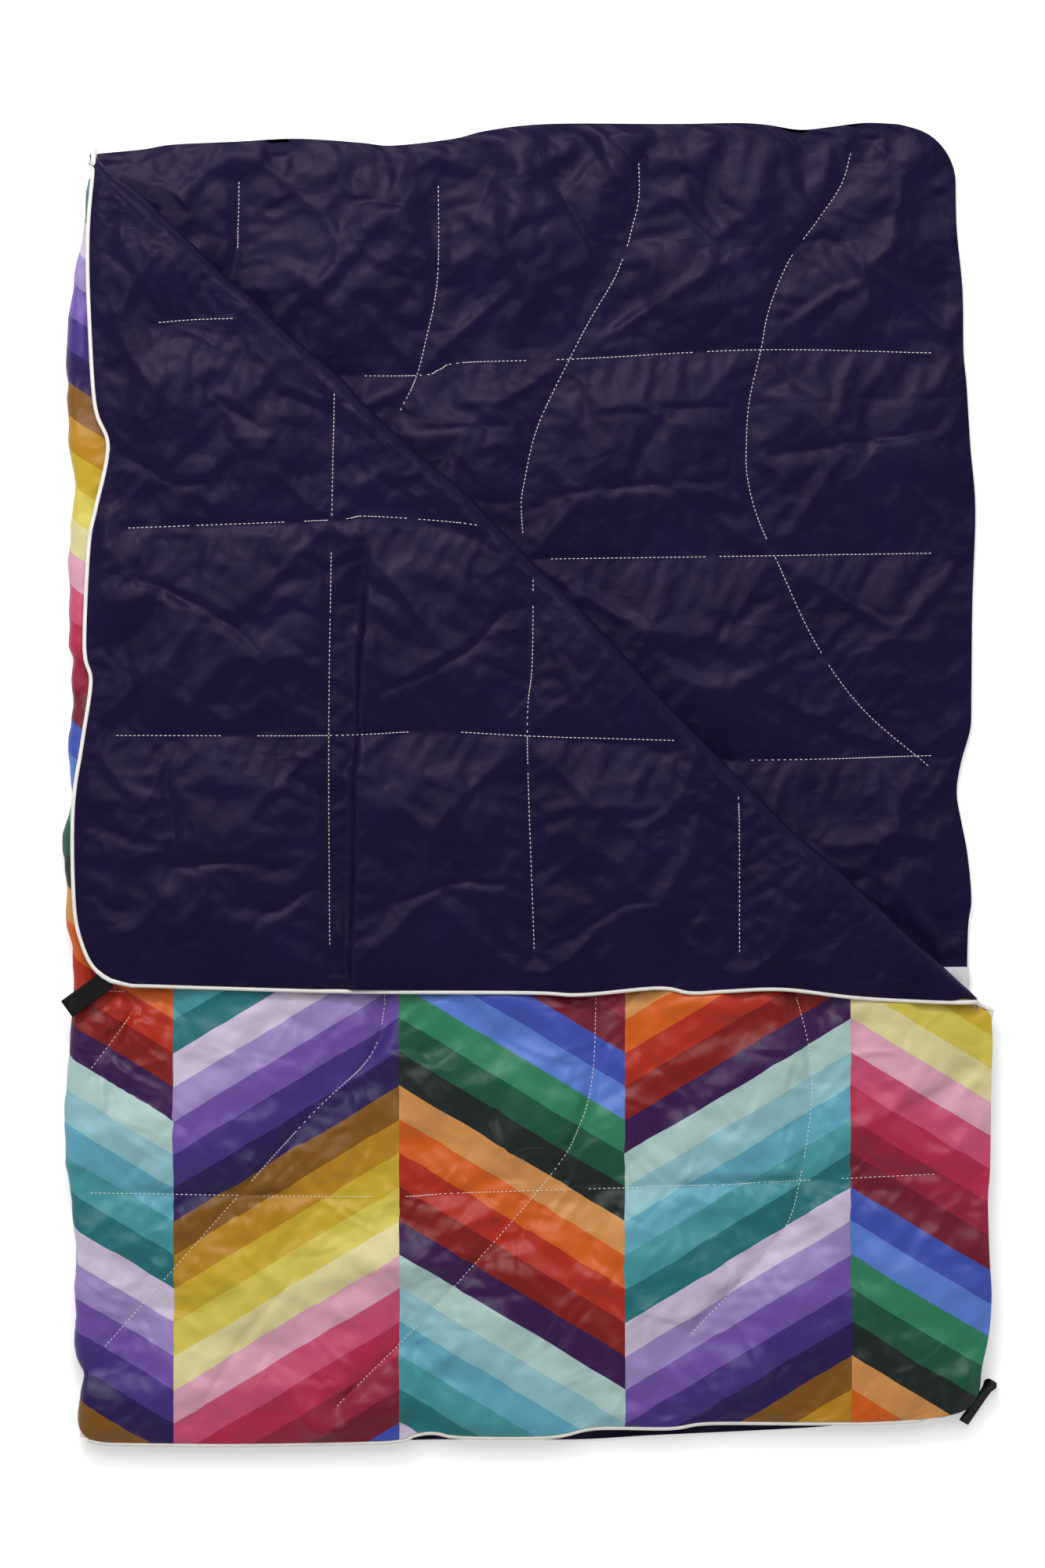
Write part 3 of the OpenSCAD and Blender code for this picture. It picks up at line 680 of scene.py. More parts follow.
insetSet = {"head": (510, 80, 16), "foot": (-460, -160, 9)}  # where it starts, over what length, how deep
tipSet = {"x": (400, 455, 472), "share": (0, 1, 0.55), "tall": 14, "fade": 30}
flapShift, upperShift = edgeCurve(foldSet["flap"]), edgeCurve(foldSet["upper"])


def foldWay(along):
    # the corner fold rolls square to its line, and at both ends along the cloth's own edges
    head, foot = eased(np.stack([along - alongLow, alongHigh - along]) / (foldSet["ends"] * mm))
    share = 0.5 * (head + 1 - foot)
    return root2 * np.column_stack([share, 1 - share])


def shiftCorner(xy, past, curve):
    # the corner fold wanders a little from its straight line
    along = (xy[:, 0] - xy[:, 1]) / root2
    return xy + (curve(along) * np.exp(-past / (foldSet["fade"] * mm)))[:, None] * foldWay(along)


def foldInset(y):
    # near the head and near the foot the side fold lies a little further in
    return sum(deep * mm * eased((y - start * mm) / (length * mm)) for start, length, deep in insetSet.values())


def shapeLower(xy):
    x, y = xy.T
    dHead, dFoot, dRight = lowerHigh[1] - y, y - lowerLow[1], lowerHigh[0] - x
    corner = quiltSet["cornerR"] * mm
    cut = roundCorner(dHead, corner) + roundCorner(dFoot, corner)
    x = lowerLow[0] + (x - lowerLow[0]) * (1 - cut / (lowerHigh[0] - lowerLow[0]))
    x = x + (lowerEdges["right"](y) - lowerHigh[0]) * fadeIn(dRight) + foldInset(y) * fadeIn(x - sideX)
    y = (y + (lowerEdges["head"](x) - lowerHigh[1]) * fadeIn(dHead)
         + (lowerEdges["foot"](x) - lowerLow[1]) * fadeIn(dFoot))
    return np.column_stack([x, y])


def shapeUpper(xy):
    x, y = xy.T
    dFoot, dRight = y - upperLow[1], upperHigh[0] - x
    cut = roundCorner(dFoot, quiltSet["footR"] * mm)
    x = np.where(x > sideX, sideX + (x - sideX) * (1 - cut / (upperHigh[0] - sideX)), x)
    past = np.maximum(cornerSum - x - y, 0) / root2
    x = x + (upperEdges["right"](y) - upperHigh[0]) * fadeIn(dRight) + foldInset(y) * fadeIn(x - sideX)
    y = y + (upperEdges["foot"](x) - upperLow[1]) * fadeIn(dFoot)
    rise = tipSet["tall"] * mm * np.interp(x, np.array(tipSet["x"]) * mm, tipSet["share"])
    y = y + rise * np.exp(-past / (tipSet["fade"] * mm))  # fills the corner beside the flap's tip
    return shiftCorner(np.column_stack([x, y]), past, upperShift)


def shapeFlap(xy):
    x, y = xy.T
    dLeft, dFoot = x - flapLow[0], y - flapLow[1]
    x = x + roundCorner(dFoot, flapSet["cornerR"] * mm) * fadeIn(dLeft)
    room = foldSet["pipingRoom"] * mm * np.clip(y / (foldSet["roomOver"] * mm), 0, 1)
    x = x + (flapEdges["left"](y) + room - flapLow[0]) * fadeIn(dLeft)
    y = y + (flapEdges["foot"](x) - flapLow[1]) * fadeIn(dFoot)
    return np.column_stack([x, y])


def pastCorner(xy):
    return (xy.sum(1) - cornerSum) / root2


def noFold(xy):
    return np.full(len(xy), -1.0)


coverSet = {"fold": 12, "edge": 4, "floor": 0.3}  # how far one layer is pressed flat past the edge of the next


# lower half: lining up, shell on the floor

mesh, xy, z, beyond, held = spreadCloth(
    "lowerQuilt", lowerLow, lowerHigh, lowerSet, 0.0, shapeLower, (), noFold,
    lambda p: p[:, 0] < lowerLow[0] + 1e-6, lambda p: np.column_stack([p[:, 0] - sideX, p[:, 1]]))
setCorners(mesh, np.column_stack([xy, z]))
lowerQuilt = newObject("lowerQuilt", mesh)
drape(lowerQuilt, held, lowerSet)
mesh = smoothed(lowerQuilt)
xyz = crumpled(mesh, lowerSet, 0.0)
under = xyz[:, 0] + xyz[:, 1] < cornerSum + coverSet["fold"] * mm
xyz[under, 2] = np.minimum(xyz[under, 2], upperZ - layGap)
hinge = sideX + foldInset(xyz[:, 1])
xyz[:, 0] = np.maximum(xyz[:, 0], hinge + gridSet["clear"] * mm)  # clear of the other half when opened flat
setCorners(mesh, xyz)
keepNormals(mesh)
print("lower half made")

# upper half with the fold down its side: shell up

mesh, xy, z, beyond, held = spreadCloth(
    "upperQuilt", upperLow, upperHigh, upperSet, upperZ, shapeUpper, ((cornerSum - layGap, True),),
    lambda p: np.where(np.abs(sideX - p[:, 0]) < 1e-6, 0, sideX - p[:, 0]),
    lambda p: (p[:, 0] < upperLow[0] + 1e-6) | (p.sum(1) > cornerSum - layGap - 0.2 * mm),
    lambda p: np.column_stack([sideX - p[:, 0], p[:, 1]]))
foldX = sideX + foldInset(xy[:, 1])
depth = foldX - upperEdges["fold"](xy[:, 1])
foldLine = np.column_stack([foldX, xy[:, 1]])
around, at, low = rolled(foldLine, np.array([-1, 0]), z, beyond, sideStrip, depth, layGap)
xy[around], z[around] = at[around], low[around]
setCorners(mesh, np.column_stack([xy, z]))
upperQuilt = newObject("upperQuilt", mesh)
drape(upperQuilt, held, upperSet)
mesh = smoothed(upperQuilt)
xyz = crumpled(mesh, upperSet, upperZ)
x, y, _ = xyz.T
own = attached(mesh, "past") <= 0
edge = coverSet["edge"] * mm
under = (x > flapEdges["left"](y) - edge) & (y > flapEdges["foot"](x) - edge) & own
xyz[under, 2] = np.minimum(xyz[under, 2], flapZ - layGap)
xyz[own, 0] = np.maximum(xyz[own, 0], sideX + foldInset(xyz[own, 1]))
xyz[:, 2] = np.maximum(xyz[:, 2], coverSet["floor"] * mm)  # the fold lies on the floor
setCorners(mesh, xyz)
keepNormals(mesh)
sideFold = newObject("sideFold", splitOff(mesh, "sideFold", True))
upperQuilt.data = splitOff(mesh, "upperQuilt", False)
print("upper half made")

# turned-back corner with its fold: lining up

mesh, xy, z, beyond, held = spreadCloth(
    "flapQuilt", flapLow, flapHigh, flapSet, flapZ, shapeFlap,
    ((cornerSum + cornerStrip * root2, True), (cornerSum, False)),
    lambda p: np.where(np.abs(pastCorner(p)) < 1e-6, 0, pastCorner(p)),
    lambda p: pastCorner(p) > cornerStrip - 1e-6,
    lambda p: np.column_stack([cornerSum - p[:, 1] - sideX, cornerSum - p[:, 0]]))
along = (xy[:, 0] - xy[:, 1]) / root2
towardsFoot = np.clip((along - alongLow) / (alongHigh - alongLow), 0, 1)
under = np.clip(2 * beyond / cornerStrip - 1, 0, 1) ** 2
along += np.maximum(beyond, 0) * (1 - 2 * towardsFoot) + foldSet["slide"] * mm * under * towardsFoot
hingeFoot = np.column_stack([cornerSum / 2 + along / root2, cornerSum / 2 - along / root2])
uneven = noiseAt(hingeFoot, foldSet["unevenSize"] * mm, foldSet["unevenSeed"])
depth = foldSet["depth"] * mm + foldSet["uneven"] * mm * uneven
around, at, low = rolled(hingeFoot, foldWay(along), z, beyond, cornerStrip, depth, upperZ + layGap)
xy[around], z[around] = at[around], low[around]
move = flapShift(along) * np.exp(np.minimum(beyond, 0) / (foldSet["fade"] * mm))
setCorners(mesh, np.column_stack([xy + move[:, None] * foldWay(along), z]))
flapQuilt = newObject("flapQuilt", mesh)
drape(flapQuilt, held, flapSet)
mesh = smoothed(flapQuilt)
crumpled(mesh, flapSet, flapZ)
keepNormals(mesh)
cornerFold = newObject("cornerFold", splitOff(mesh, "cornerFold", True))
flapQuilt.data = splitOff(mesh, "flapQuilt", False)
print("turned-back corner made")


# materials

def clothDetail(tree, uv, made):
    # fine weave with creases over it; the weave is drawn several times coarser than taffeta so that it shows
    waves = [addNode(tree, "TexWave", {"Vector": uv, "Scale": waveUnit / made["weave"], "Distortion": 0.6,
                                       "Detail Scale": 2.0}, bands_direction=d).outputs["Fac"] for d in "XY"]
    weave = mathNode(tree, "MULTIPLY", *waves)
    fine = addNode(tree, "Bump", {"Height": weave, "Strength": 0.25, "Distance": 0.2 * mm})
    drift = addNode(tree, "TexNoise", {"Vector": uv, "Scale": 14.0, "Detail": 3.0})
    moved = addNode(tree, "VectorMath", {0: drift.outputs["Color"], 1: (0.06, 0.06, 0.06)},
                    operation="MULTIPLY")
    place = addNode(tree, "VectorMath", {0: uv, 1: moved.outputs[0]}, operation="ADD").outputs[0]
    cracks = addNode(tree, "TexVoronoi", {"Vector": place, "Scale": 1 / made["facet"]},
                     feature="DISTANCE_TO_EDGE")
    bent = addNode(tree, "MapRange", {"Value": cracks.outputs["Distance"], "From Max": 0.35},
                   interpolation_type="SMOOTHSTEP")
    bump = addNode(tree, "Bump", {"Height": bent.outputs[0], "Strength": made["fold"], "Distance": 1.4 * mm,
                                  "Normal": fine.outputs[0]})
    return bump.outputs[0], drift.outputs["Fac"]


# dark nylon taffeta: deep indigo with a satin glint on every fold
liningSet = {"weave": 1.1 * mm, "facet": 34 * mm, "fold": 0.35, "dark": "#120c26", "light": "#1b1436"}
liningCloth, tree, surface = newMaterial("indigoTaffeta")
uv = addNode(tree, "UVMap", uv_map="flat").outputs[0]
normal, drift = clothDetail(tree, uv, liningSet)
tone = addNode(tree, "Mix", {0: drift, 6: linear(liningSet["dark"]), 7: linear(liningSet["light"])},
               data_type="RGBA")
rough = addNode(tree, "MapRange", {"Value": drift, "To Min": 0.28, "To Max": 0.36})
tree.links.new(tone.outputs[2], surface.inputs["Base Color"])
tree.links.new(rough.outputs[0], surface.inputs["Roughness"])
tree.links.new(normal, surface.inputs["Normal"])
surface.inputs["Specular IOR Level"].default_value = 0.11
surface.inputs["Specular Tint"].default_value = linear("#e4d2e8")

# printed taffeta: slanted bands of graded colour in columns that lean left and right by turns
printSet = {"weave": 1.1 * mm, "facet": 40 * mm, "fold": 0.4, "column": 228 * mm, "band": 34 * mm, "lean": 0.6,
            "start": 0.42, "jump": 11.0,
            "shades": ["#6e1028", "#8f1a36", "#ae2546", "#c14a6c", "#d29aae",
                       "#d3ca92", "#cbbb4c", "#c2a428", "#b07f16", "#7c5010",
                       "#241250", "#402a78", "#6a4c9e", "#9480b8", "#c4b6cc",
                       "#1d6a70", "#3f8f96", "#5a9fb4", "#86b6bc", "#a6c2be",
                       "#340c48", "#7e1410", "#ac2814", "#cc5a12", "#c98a4a",
                       "#14201e", "#125038", "#2c7c58", "#5478c8", "#3a4ca8"]}
printCloth, tree, surface = newMaterial("printedTaffeta")
uv = addNode(tree, "UVMap", uv_map="flat").outputs[0]
normal, drift = clothDetail(tree, uv, printSet)
parts = addNode(tree, "SeparateXYZ", {0: uv})
shadeCount = len(printSet["shades"])
columns = mathNode(tree, "MULTIPLY_ADD", parts.outputs[0], 1 / printSet["column"], printSet["start"])
number = mathNode(tree, "FLOOR", columns)
across = mathNode(tree, "SUBTRACT", columns, number)
odd = mathNode(tree, "FLOORED_MODULO", number, 2.0)
sign = mathNode(tree, "MULTIPLY_ADD", odd, 2.0, -1.0)
lean = mathNode(tree, "MULTIPLY", across, sign)
climb = mathNode(tree, "MULTIPLY_ADD", lean, printSet["column"] * printSet["lean"], parts.outputs[1])
bands = mathNode(tree, "DIVIDE", climb, printSet["band"])
whole = mathNode(tree, "FLOOR", bands)
jump = mathNode(tree, "MULTIPLY_ADD", number, printSet["jump"], whole)
turn = mathNode(tree, "FLOORED_MODULO", jump, float(shadeCount))
share = mathNode(tree, "MULTIPLY_ADD", turn, 1 / shadeCount, 0.5 / shadeCount)
ramp = addNode(tree, "ValToRGB", {0: share})
ramp.color_ramp.interpolation = "CONSTANT"
stops = ramp.color_ramp.elements
while len(stops) < shadeCount:
    stops.new(0.5)
for i, code in enumerate(printSet["shades"]):
    stops[i].position = i / shadeCount
    stops[i].color = linear(code)
worn = addNode(tree, "MapRange", {"Value": drift, "To Min": 0.86, "To Max": 1.06})
ink = addNode(tree, "VectorMath", {0: ramp.outputs[0], "Scale": worn.outputs[0]}, operation="SCALE")
tree.links.new(ink.outputs[0], surface.inputs["Base Color"])
tree.links.new(normal, surface.inputs["Normal"])
surface.inputs["Roughness"].default_value = 0.42
surface.inputs["Specular IOR Level"].default_value = 0.32


def roundTrim(name, code, roughness, pitch, deep, glint=0.5):
    # cord, thread and webbing share a fine twisted rib at their own pitch
    material, tree, surface = newMaterial(name)
    place = addNode(tree, "TexCoord").outputs["Object"]
    ribs = addNode(tree, "TexWave", {"Vector": place, "Scale": waveUnit / pitch, "Distortion": 1.2,
                                     "Detail": 1.0}, bands_direction="DIAGONAL")
    spots = addNode(tree, "TexNoise", {"Vector": place, "Scale": 90.0, "Detail": 2.0})
    shade = addNode(tree, "MapRange", {"Value": spots.outputs["Fac"], "To Min": 0.8, "To Max": 1.05})
    tone = addNode(tree, "VectorMath", {0: linear(code)[:3], "Scale": shade.outputs[0]}, operation="SCALE")
    bump = addNode(tree, "Bump", {"Height": ribs.outputs["Fac"], "Strength": 0.5, "Distance": deep})
    tree.links.new(tone.outputs[0], surface.inputs["Base Color"])
    tree.links.new(bump.outputs[0], surface.inputs["Normal"])
    surface.inputs["Roughness"].default_value = roughness
    surface.inputs["Specular IOR Level"].default_value = glint
    return material


pipingTape = roundTrim("cottonPiping", "#efece4", 0.75, 1.6 * mm, 0.3 * mm)  # matt off-white, slightly twisted
sewingThread = roundTrim("polyesterThread", "#f4f0e6", 0.5, 0.8 * mm, 0.1 * mm)  # soft glint on each stitch
webbingTape = roundTrim("nylonWebbing", "#070708", 0.7, 2.0 * mm, 0.3 * mm, 0.2)  # black with a fine rib
labelRibbon = roundTrim("satinRibbon", "#e2e3e8", 0.35, 1.2 * mm, 0.1 * mm)  # pale, with a silky rib
print("materials made")


# layers are closed and given to their bodies

underSet = {"thread": 2, "threadFade": 14, "rim": 4.4, "rimFade": 9, "draw": 6, "drawFade": 6, "thin": 1,
            "sides": 380, "ends": 580}


def lowerUnder(top, gap, rimGap):
    # on the floor, raised a little at the thread, and drawn up and in round the edge
    low = top.copy()
    rise = (underSet["thread"] * mm * np.exp(-gap / (underSet["threadFade"] * mm))
            + underSet["rim"] * mm * np.exp(-rimGap / (underSet["rimFade"] * mm)))
    low[:, 2] = np.minimum(rise, top[:, 2] - underSet["thin"] * mm)
    draw = underSet["draw"] * mm * np.exp(-rimGap / (underSet["drawFade"] * mm))
    low[:, 0] -= draw * np.sign(top[:, 0]) * (np.abs(top[:, 0]) > underSet["sides"] * mm)
    low[:, 1] -= draw * np.sign(top[:, 1]) * (np.abs(top[:, 1]) > underSet["ends"] * mm)
    return low


def coveredUnder(base):
    def low(top, gap, rimGap):
        made = top.copy()
        rise = base + underSet["thread"] * mm * np.exp(-gap / (underSet["threadFade"] * mm))
        made[:, 2] = np.minimum(rise, top[:, 2] - underSet["thin"] * mm)
        return made
    return low


thicken(lowerQuilt, liningCloth, printCloth, lowerUnder)
thicken(upperQuilt, printCloth, liningCloth, coveredUnder(upperZ))
thicken(flapQuilt, liningCloth, printCloth, coveredUnder(flapZ))
thicken(sideFold, printCloth, liningCloth)
thicken(cornerFold, liningCloth, printCloth)
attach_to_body(lowerQuilt, "lower_half")
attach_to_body(upperQuilt, "upper_half")
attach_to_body(flapQuilt, "corner_flap")
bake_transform(sideFold, "upper_half", "lower_half", start=(sideX, 0, 2 * sideZ), end=(sideX, 0, 0))
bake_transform(cornerFold, "upper_half", "corner_flap", start=(cornerSum / 2, cornerSum / 2, upperZ),
         end=(cornerSum / 2, cornerSum / 2, 2 * cornerZ - upperZ))
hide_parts("lower_shell", "lower_batting", "lower_lining")
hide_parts("upper_shell", "upper_batting", "upper_lining")
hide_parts("flap_shell", "flap_batting", "flap_lining")
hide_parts("side_fold_shell", "side_fold_batting")
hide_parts("corner_fold_lining", "corner_fold_batting")
print("layers closed")


# stitches: short stretches of thread along the sewn lines

threadSet = {"pitch": 4.2, "long": 3.1, "thick": 0.85, "lift": 0.2, "hidden": 0.4, "patch": 40, "foldRoom": 25,
             "edgeRoom": 6}


def stitches(name, carrier, made, body, skip):
    proto = bmesh.new()
    bmesh.ops.create_uvsphere(proto, u_segments=6, v_segments=4, radius=0.5)
    bead = toMesh(proto, name + "Bead")
    bm = bmesh.new()
    bpy.context.view_layer.update()
    patch = threadSet["patch"] * mm
    size = Matrix.Diagonal((threadSet["long"] * mm, threadSet["thick"] * mm, threadSet["thick"] * mm, 1))
    for line in made["sewn"]:
        path = smoothLine(line, threadSet["pitch"]) * mm
        for a, b in zip(path, path[1:]):
            x, y = (a + b) / 2
            if skip(x, y) or noise.noise((x / patch, y / patch, made["seed"])) > threadSet["hidden"]:
                continue  # lost in a fold
            hit, place, _, _ = carrier.ray_cast((x, y, above), (0, 0, -1))
            if not hit:
                continue
            turn = Matrix.Rotation(math.atan2(b[1] - a[1], b[0] - a[0]), 4, "Z")
            one = bead.copy()
            one.transform(Matrix.Translation(place + Vector((0, 0, threadSet["lift"] * mm))) @ turn @ size)
            bm.from_mesh(one)
            bpy.data.meshes.remove(one)
    obj = newObject(name, toMesh(bm, name))
    obj.data.shade_smooth()
    obj.data.materials.append(sewingThread)
    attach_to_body(obj, body)


foldRoom, edgeRoom = threadSet["foldRoom"] * mm, threadSet["edgeRoom"] * mm
stitches("lowerStitches", lowerQuilt, lowerSet, "lower_half", lambda x, y: x + y < cornerSum + foldRoom)
stitches("upperStitches", upperQuilt, upperSet, "upper_half",
         lambda x, y: x > flapEdges["left"](y) - edgeRoom and y > flapEdges["foot"](x) - edgeRoom)
stitches("flapStitches", flapQuilt, flapSet, "corner_flap", lambda x, y: False)
print("stitches made")


# piping round the open edges

pipingSet = {"radius": 2.5, "under": 2.0, "tuck": 4, "out": 1.6, "overLoop": 2.6, "loopFade": 14, "headEnd": 12,
             "turnedX": 440, "turnedY": -236, "turnedOver": 20, "turnedDown": 2.8, "turnedIn": 5.6}


def tube(name, runs, radius, material):
    curve = bpy.data.curves.new(name, "CURVE")
    curve.dimensions = "3D"
    curve.bevel_depth = radius
    curve.bevel_resolution = 3
    curve.use_fill_caps = True
    for run in runs:
        step = np.linalg.norm(np.diff(run, axis=0), axis=1)
        run = run[np.concatenate([[True], step > 0.5 * mm])]
        spline = curve.splines.new("POLY")
        spline.points.add(len(run) - 1)
        for point, place in zip(spline.points, run):
            point.co = (*place, 1)
    maker = newObject(name + "Maker", curve)
    bpy.context.view_layer.update()
    mesh = bpy.data.meshes.new_from_object(maker.evaluated_get(bpy.context.evaluated_depsgraph_get()))
    bpy.data.objects.remove(maker)
    mesh.shade_smooth()
    mesh.materials.clear()
    mesh.materials.append(material)
    return newObject(name, mesh)


def flatRun(shape, points, z, out=0.0):
    # points of a straight outline, moved by the same shaping as the cloth and then outwards
    run = shape(np.array(points, float))
    way = np.gradient(run, axis=0)
    way /= np.maximum(np.hypot(*way.T), 1e-9)[:, None]
    run = run + np.reshape(out, (-1, 1)) * np.column_stack([way[:, 1], -way[:, 0]])
    return np.column_stack([run, np.broadcast_to(z, len(run))])


def straight(a, b, n):
    return np.linspace(a, b, n)


radius = pipingSet["radius"] * mm
tuck, outward = pipingSet["tuck"] * mm, pipingSet["out"] * mm
rest = radius + layGap  # height of the piping's middle above the cloth below
left, foot, right, head = lowerLow[0], lowerLow[1] + tuck, lowerHigh[0] - tuck, lowerHigh[1] - tuck
lowerRun = np.vstack([straight((left, foot), (right, foot), 120), straight((right, foot), (right, head), 180),
                      straight((right, head), (left, head), 120)])
low = pipingSet["under"] * mm  # squashed by the weight of the bag
lowerPiping = tube("lowerPiping", [flatRun(shapeLower, lowerRun, low)], low, pipingTape)
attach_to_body(lowerPiping, "lower_half")
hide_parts("lower_piping", "lower_piping_cord")
left, foot, right = sideX, upperLow[1], upperHigh[0]
upperRun = np.vstack([straight((left, foot), (right, foot), 160),
                      straight((right, foot), (right, cornerSum - right), 70)])
# down the right-hand side it is turned under, apart from the stretch next to the corner fold
gone = np.minimum(upperRun[:, 0] - pipingSet["turnedX"] * mm, pipingSet["turnedY"] * mm - upperRun[:, 1])
turned = np.clip(gone / (pipingSet["turnedOver"] * mm), 0, 1)
upperRun = flatRun(shapeUpper, upperRun, upperZ + rest - pipingSet["turnedDown"] * mm * turned,
                   outward - pipingSet["turnedIn"] * mm * turned)
upperPiping = tube("upperPiping", [upperRun], radius, pipingTape)
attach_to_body(upperPiping, "upper_half")
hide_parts("upper_piping", "upper_piping_cord")
flapRun = np.vstack([straight((flapLow[0], cornerSum - flapLow[0]), flapLow, 170),
                     straight(flapLow, (cornerSum - flapLow[1], flapLow[1]), 160)])
flapRun = flatRun(shapeFlap, flapRun, flapZ + rest, outward)
flapRun[:, :2] = shiftCorner(flapRun[:, :2], -pastCorner(flapRun[:, :2]), flapShift)
loopRoot = np.array(hinges["flap_loop_bend"][:2])
away = ((flapRun[:, :2] - loopRoot) ** 2).sum(1) / (pipingSet["loopFade"] * mm) ** 2
flapRun[:, 2] += pipingSet["overLoop"] * mm * np.exp(-away)
flapPiping = tube("flapPiping", [flapRun], radius, pipingTape)
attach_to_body(flapPiping, "corner_flap")
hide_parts("flap_piping", "flap_piping_cord")
print("piping made")


# piping where the edges go round the folds

turns = np.linspace(0, np.pi, 17)
ends = []
for at in (float(upperEdges["foot"](sideX)), upperHigh[1] - pipingSet["headEnd"] * mm):
    hinge = sideX + foldInset(at)
    x = hinge - (hinge - float(upperEdges["fold"](at))) * np.sin(turns)
    top, low = upperZ + rest, radius
    z = (top + low) / 2 + (top - low) / 2 * np.cos(turns)
    ends.append(np.column_stack([x, np.full(len(turns), at), z]))
sideFoldPiping = tube("sideFoldPiping", ends, radius, pipingTape)
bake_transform(sideFoldPiping, "upper_half", "lower_half", start=(sideX, 0, 2 * sideZ), end=(sideX, 0, 0))
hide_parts("side_fold_piping")
ends = []
for start, end, way in ((flapRun[0], flapRun[0], (0, root2)), (flapRun[-1], upperRun[-1], (root2, 0))):
    out = foldSet["depth"] * mm * np.sin(turns)
    gone = np.clip(2 * turns / np.pi - 1, 0, 1) ** 2
    top, low = flapZ + rest, upperZ + rest
    ends.append(np.column_stack([start[0] + out * way[0] + gone * (end[0] - start[0]),
                                 start[1] + out * way[1] + gone * (end[1] - start[1]),
                                 (top + low) / 2 + (top - low) / 2 * np.cos(turns)]))
cornerFoldPiping = tube("cornerFoldPiping", ends, radius, pipingTape)
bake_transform(cornerFoldPiping, "upper_half", "corner_flap", start=(cornerSum / 2, cornerSum / 2, upperZ),
         end=(cornerSum / 2, cornerSum / 2, 2 * cornerZ - upperZ))
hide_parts("corner_fold_piping")
print("fold piping made")


# webbing loops: a tape that runs out, round an eye and back

loopSet = {"wide": 20, "thick": 1.3, "step": 1.2, "droop": 0.5, "long": 40,
           "path": [(-5, -0.75), (8, -0.75), (28, -0.8), (36, -1.2), (40, -2.6), (43, -3.2), (46.2, 0),
                    (43, 3.2), (40, 2.6), (36, 1.2), (28, 0.8), (8, 0.75), (-5, 0.75)]}


def webbingLoop(name, origin, along, across, body, node):
    path = smoothLine(loopSet["path"], loopSet["step"]) * mm
    bm = bmesh.new()
    bmesh.ops.create_grid(bm, x_segments=len(path) - 1, y_segments=10, size=0.5)
    mesh = toMesh(bm, name)
    grid = corners(mesh)
    at = path[np.rint((grid[:, 0] + 0.5) * (len(path) - 1)).astype(int)]
    along, across = np.array(along), np.array(across)
    up = np.cross(along, across)
    share = np.clip(at[:, 0] / (loopSet["long"] * mm), 0, 1)
    droop = loopSet["droop"] * mm * np.sin(grid[:, 1] * np.pi) * share
    setCorners(mesh, np.array(origin) + np.outer(at[:, 0], along) + np.outer(at[:, 1] + droop, up)
               + np.outer(grid[:, 1] * loopSet["wide"] * mm, across))
    obj = newObject(name, mesh)
    solid = obj.modifiers.new("solid", "SOLIDIFY")
    solid.thickness = loopSet["thick"] * mm
    solid.offset = 0
    mesh = baked(obj)
    mesh.shade_smooth()
    mesh.materials.append(webbingTape)
    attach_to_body(obj, body)
    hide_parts(node)


axes = {j["name"]: j["axis"] for j in frame["joints"]}
flapAxis, footAxis = np.array(axes["flap_loop_bend"]), np.array(axes["foot_loop_bend"])
webbingLoop("flapLoop", hinges["flap_loop_bend"], (-flapAxis[1], flapAxis[0], 0), flapAxis,
            "flap_loop", "flap_loop")
footAlong = np.array((-footAxis[1], footAxis[0], 0)) / math.hypot(*footAxis[:2])
footRoot = np.array(hinges["foot_loop_bend"]) + footAxis * loopSet["wide"] / 2 * mm
webbingLoop("footLoop", footRoot, footAlong, footAxis, "foot_loop", "foot_loop")
print("loops made")


# care label, blank, caught in the right-hand seam

labelSet = {"wide": 46, "long": 60, "y": -246, "seam": 2, "lift": 0.5}
bm = bmesh.new()
bmesh.ops.create_grid(bm, x_segments=16, y_segments=20, size=0.5)
mesh = toMesh(bm, "careLabel")
grid = corners(mesh)
y = labelSet["y"] * mm + (grid[:, 1] + 0.5) * labelSet["long"] * mm
edge = lowerEdges["right"](y)
seam = labelSet["seam"] * mm
x = edge + seam + (grid[:, 0] - 0.5) * labelSet["wide"] * mm
z = [lowerQuilt.ray_cast((a, b, above), (0, 0, -1))[1].z for a, b in zip(np.minimum(x, edge - seam), y)]
setCorners(mesh, np.column_stack([x, y, np.array(z) + labelSet["lift"] * mm]))
careLabel = newObject("careLabel", mesh)
mesh.shade_smooth()
mesh.materials.append(labelRibbon)
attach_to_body(careLabel, "lower_half")
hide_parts("care_label")
print("label made")


# floor and light

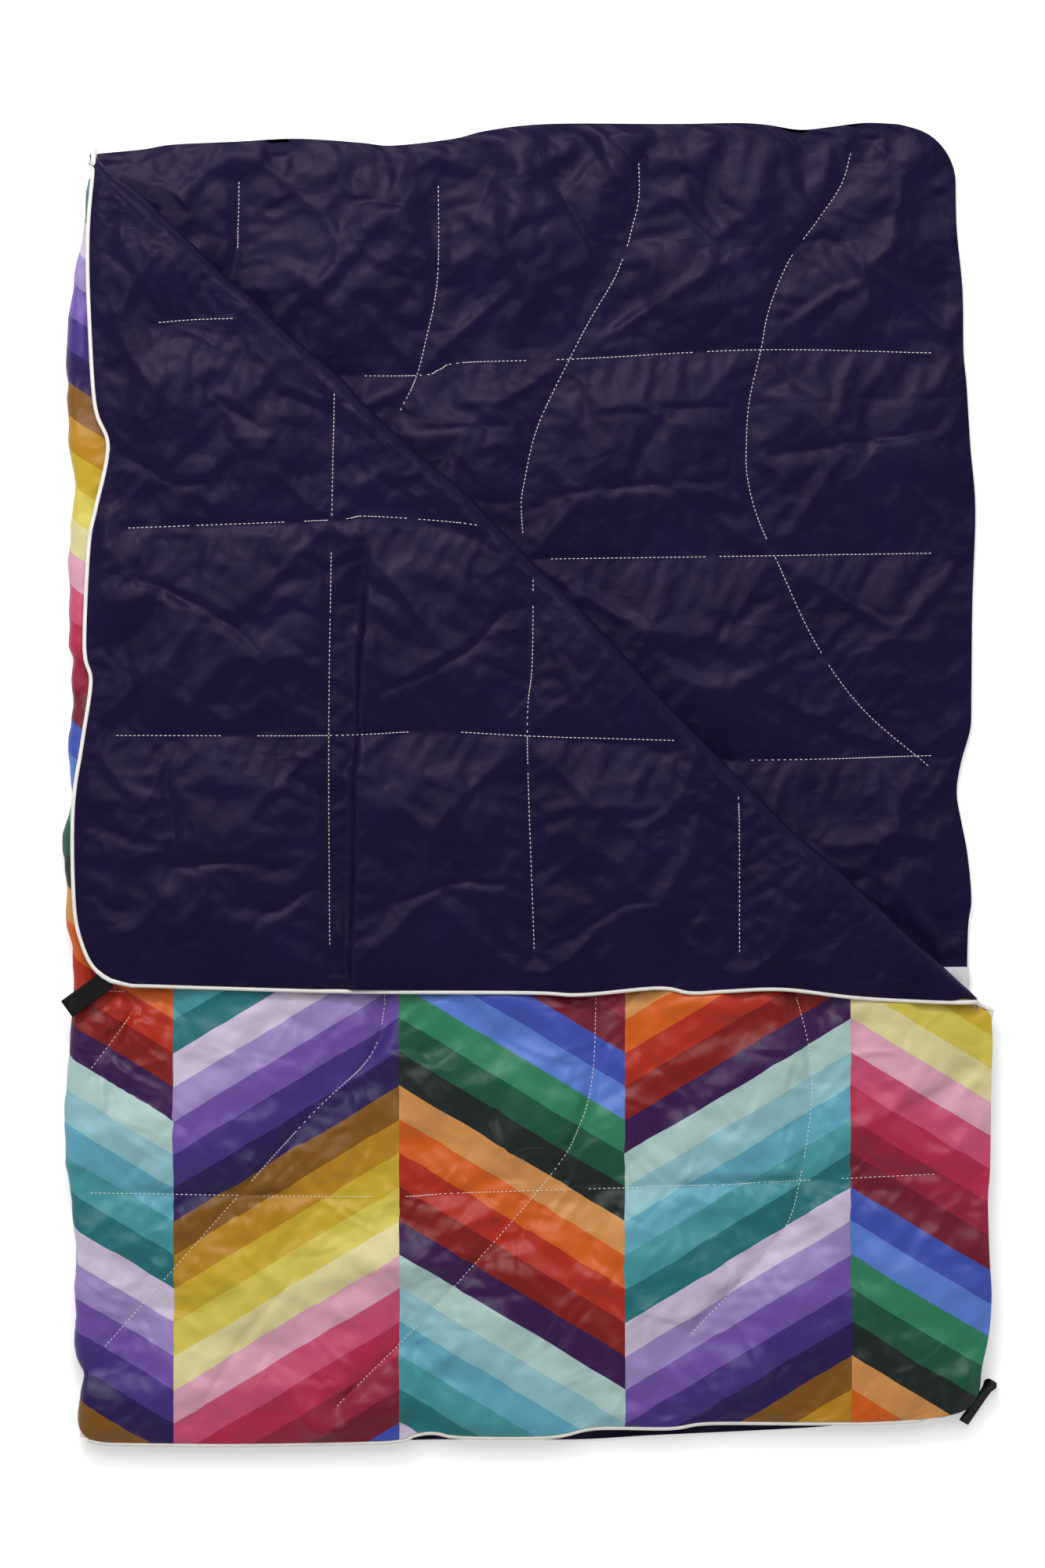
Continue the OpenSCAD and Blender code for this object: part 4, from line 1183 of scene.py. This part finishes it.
floorSet = {"half": 40, "below": 0.2, "glow": 0.35}


def floorPlane():
    bm = bmesh.new()
    bmesh.ops.create_grid(bm, x_segments=1, y_segments=1, size=floorSet["half"])
    floor = newObject("floor", toMesh(bm, "floor"))
    floor.location.z = -floorSet["below"] * mm
    material, tree, surface = newMaterial("whiteFloor")
    surface.inputs["Base Color"].default_value = linear("#f4f4f4")
    surface.inputs["Roughness"].default_value = 0.9
    surface.inputs["Emission Color"].default_value = (1, 1, 1, 1)
    # the floor glows for the camera alone
    glow = mathNode(tree, "MULTIPLY", addNode(tree, "LightPath").outputs["Is Camera Ray"], floorSet["glow"])
    tree.links.new(glow, surface.inputs["Emission Strength"])
    floor.data.materials.append(material)


floorPlane()
# place, size and power of each lamp, and the strength of the sky
lightSet = {"softbox": ((-0.3, 1.3, 2.6), (3.0, 2.0), 43), "key": ((-0.5, 1.9, 2.0), (1.2, 0.5), 28),
            "sides": 0.75, "overhead": 0.15}
for name in ("softbox", "key"):
    place, size, power = lightSet[name]
    lamp = bpy.data.objects.new(name, bpy.data.lights.new(name, "AREA"))
    scene.collection.objects.link(lamp)
    lamp.data.shape = "RECTANGLE"
    lamp.data.size, lamp.data.size_y = size
    lamp.data.energy = power
    lamp.visible_camera = False
    lamp.location = place
    lamp.rotation_euler = Vector(place).to_track_quat("Z", "Y").to_euler()
world = bpy.data.worlds.new("studio")
scene.world = world
world.use_nodes = True
# dim overhead and brighter all round, so that flat cloth keeps its depth and its folds catch light
tree = world.node_tree
way = addNode(tree, "SeparateXYZ", {0: addNode(tree, "TexCoord").outputs["Generated"]}).outputs[2]
sky = addNode(tree, "MapRange", {"Value": way, "From Min": 0.5, "From Max": 0.95, "To Min": lightSet["sides"],
                                 "To Max": lightSet["overhead"]}, interpolation_type="SMOOTHSTEP")
tree.links.new(sky.outputs[0], tree.nodes["Background"].inputs["Strength"])
tree.nodes["Background"].inputs["Color"].default_value = (1, 1, 1, 1)
scene.view_settings.view_transform = "Standard"
print("light set")
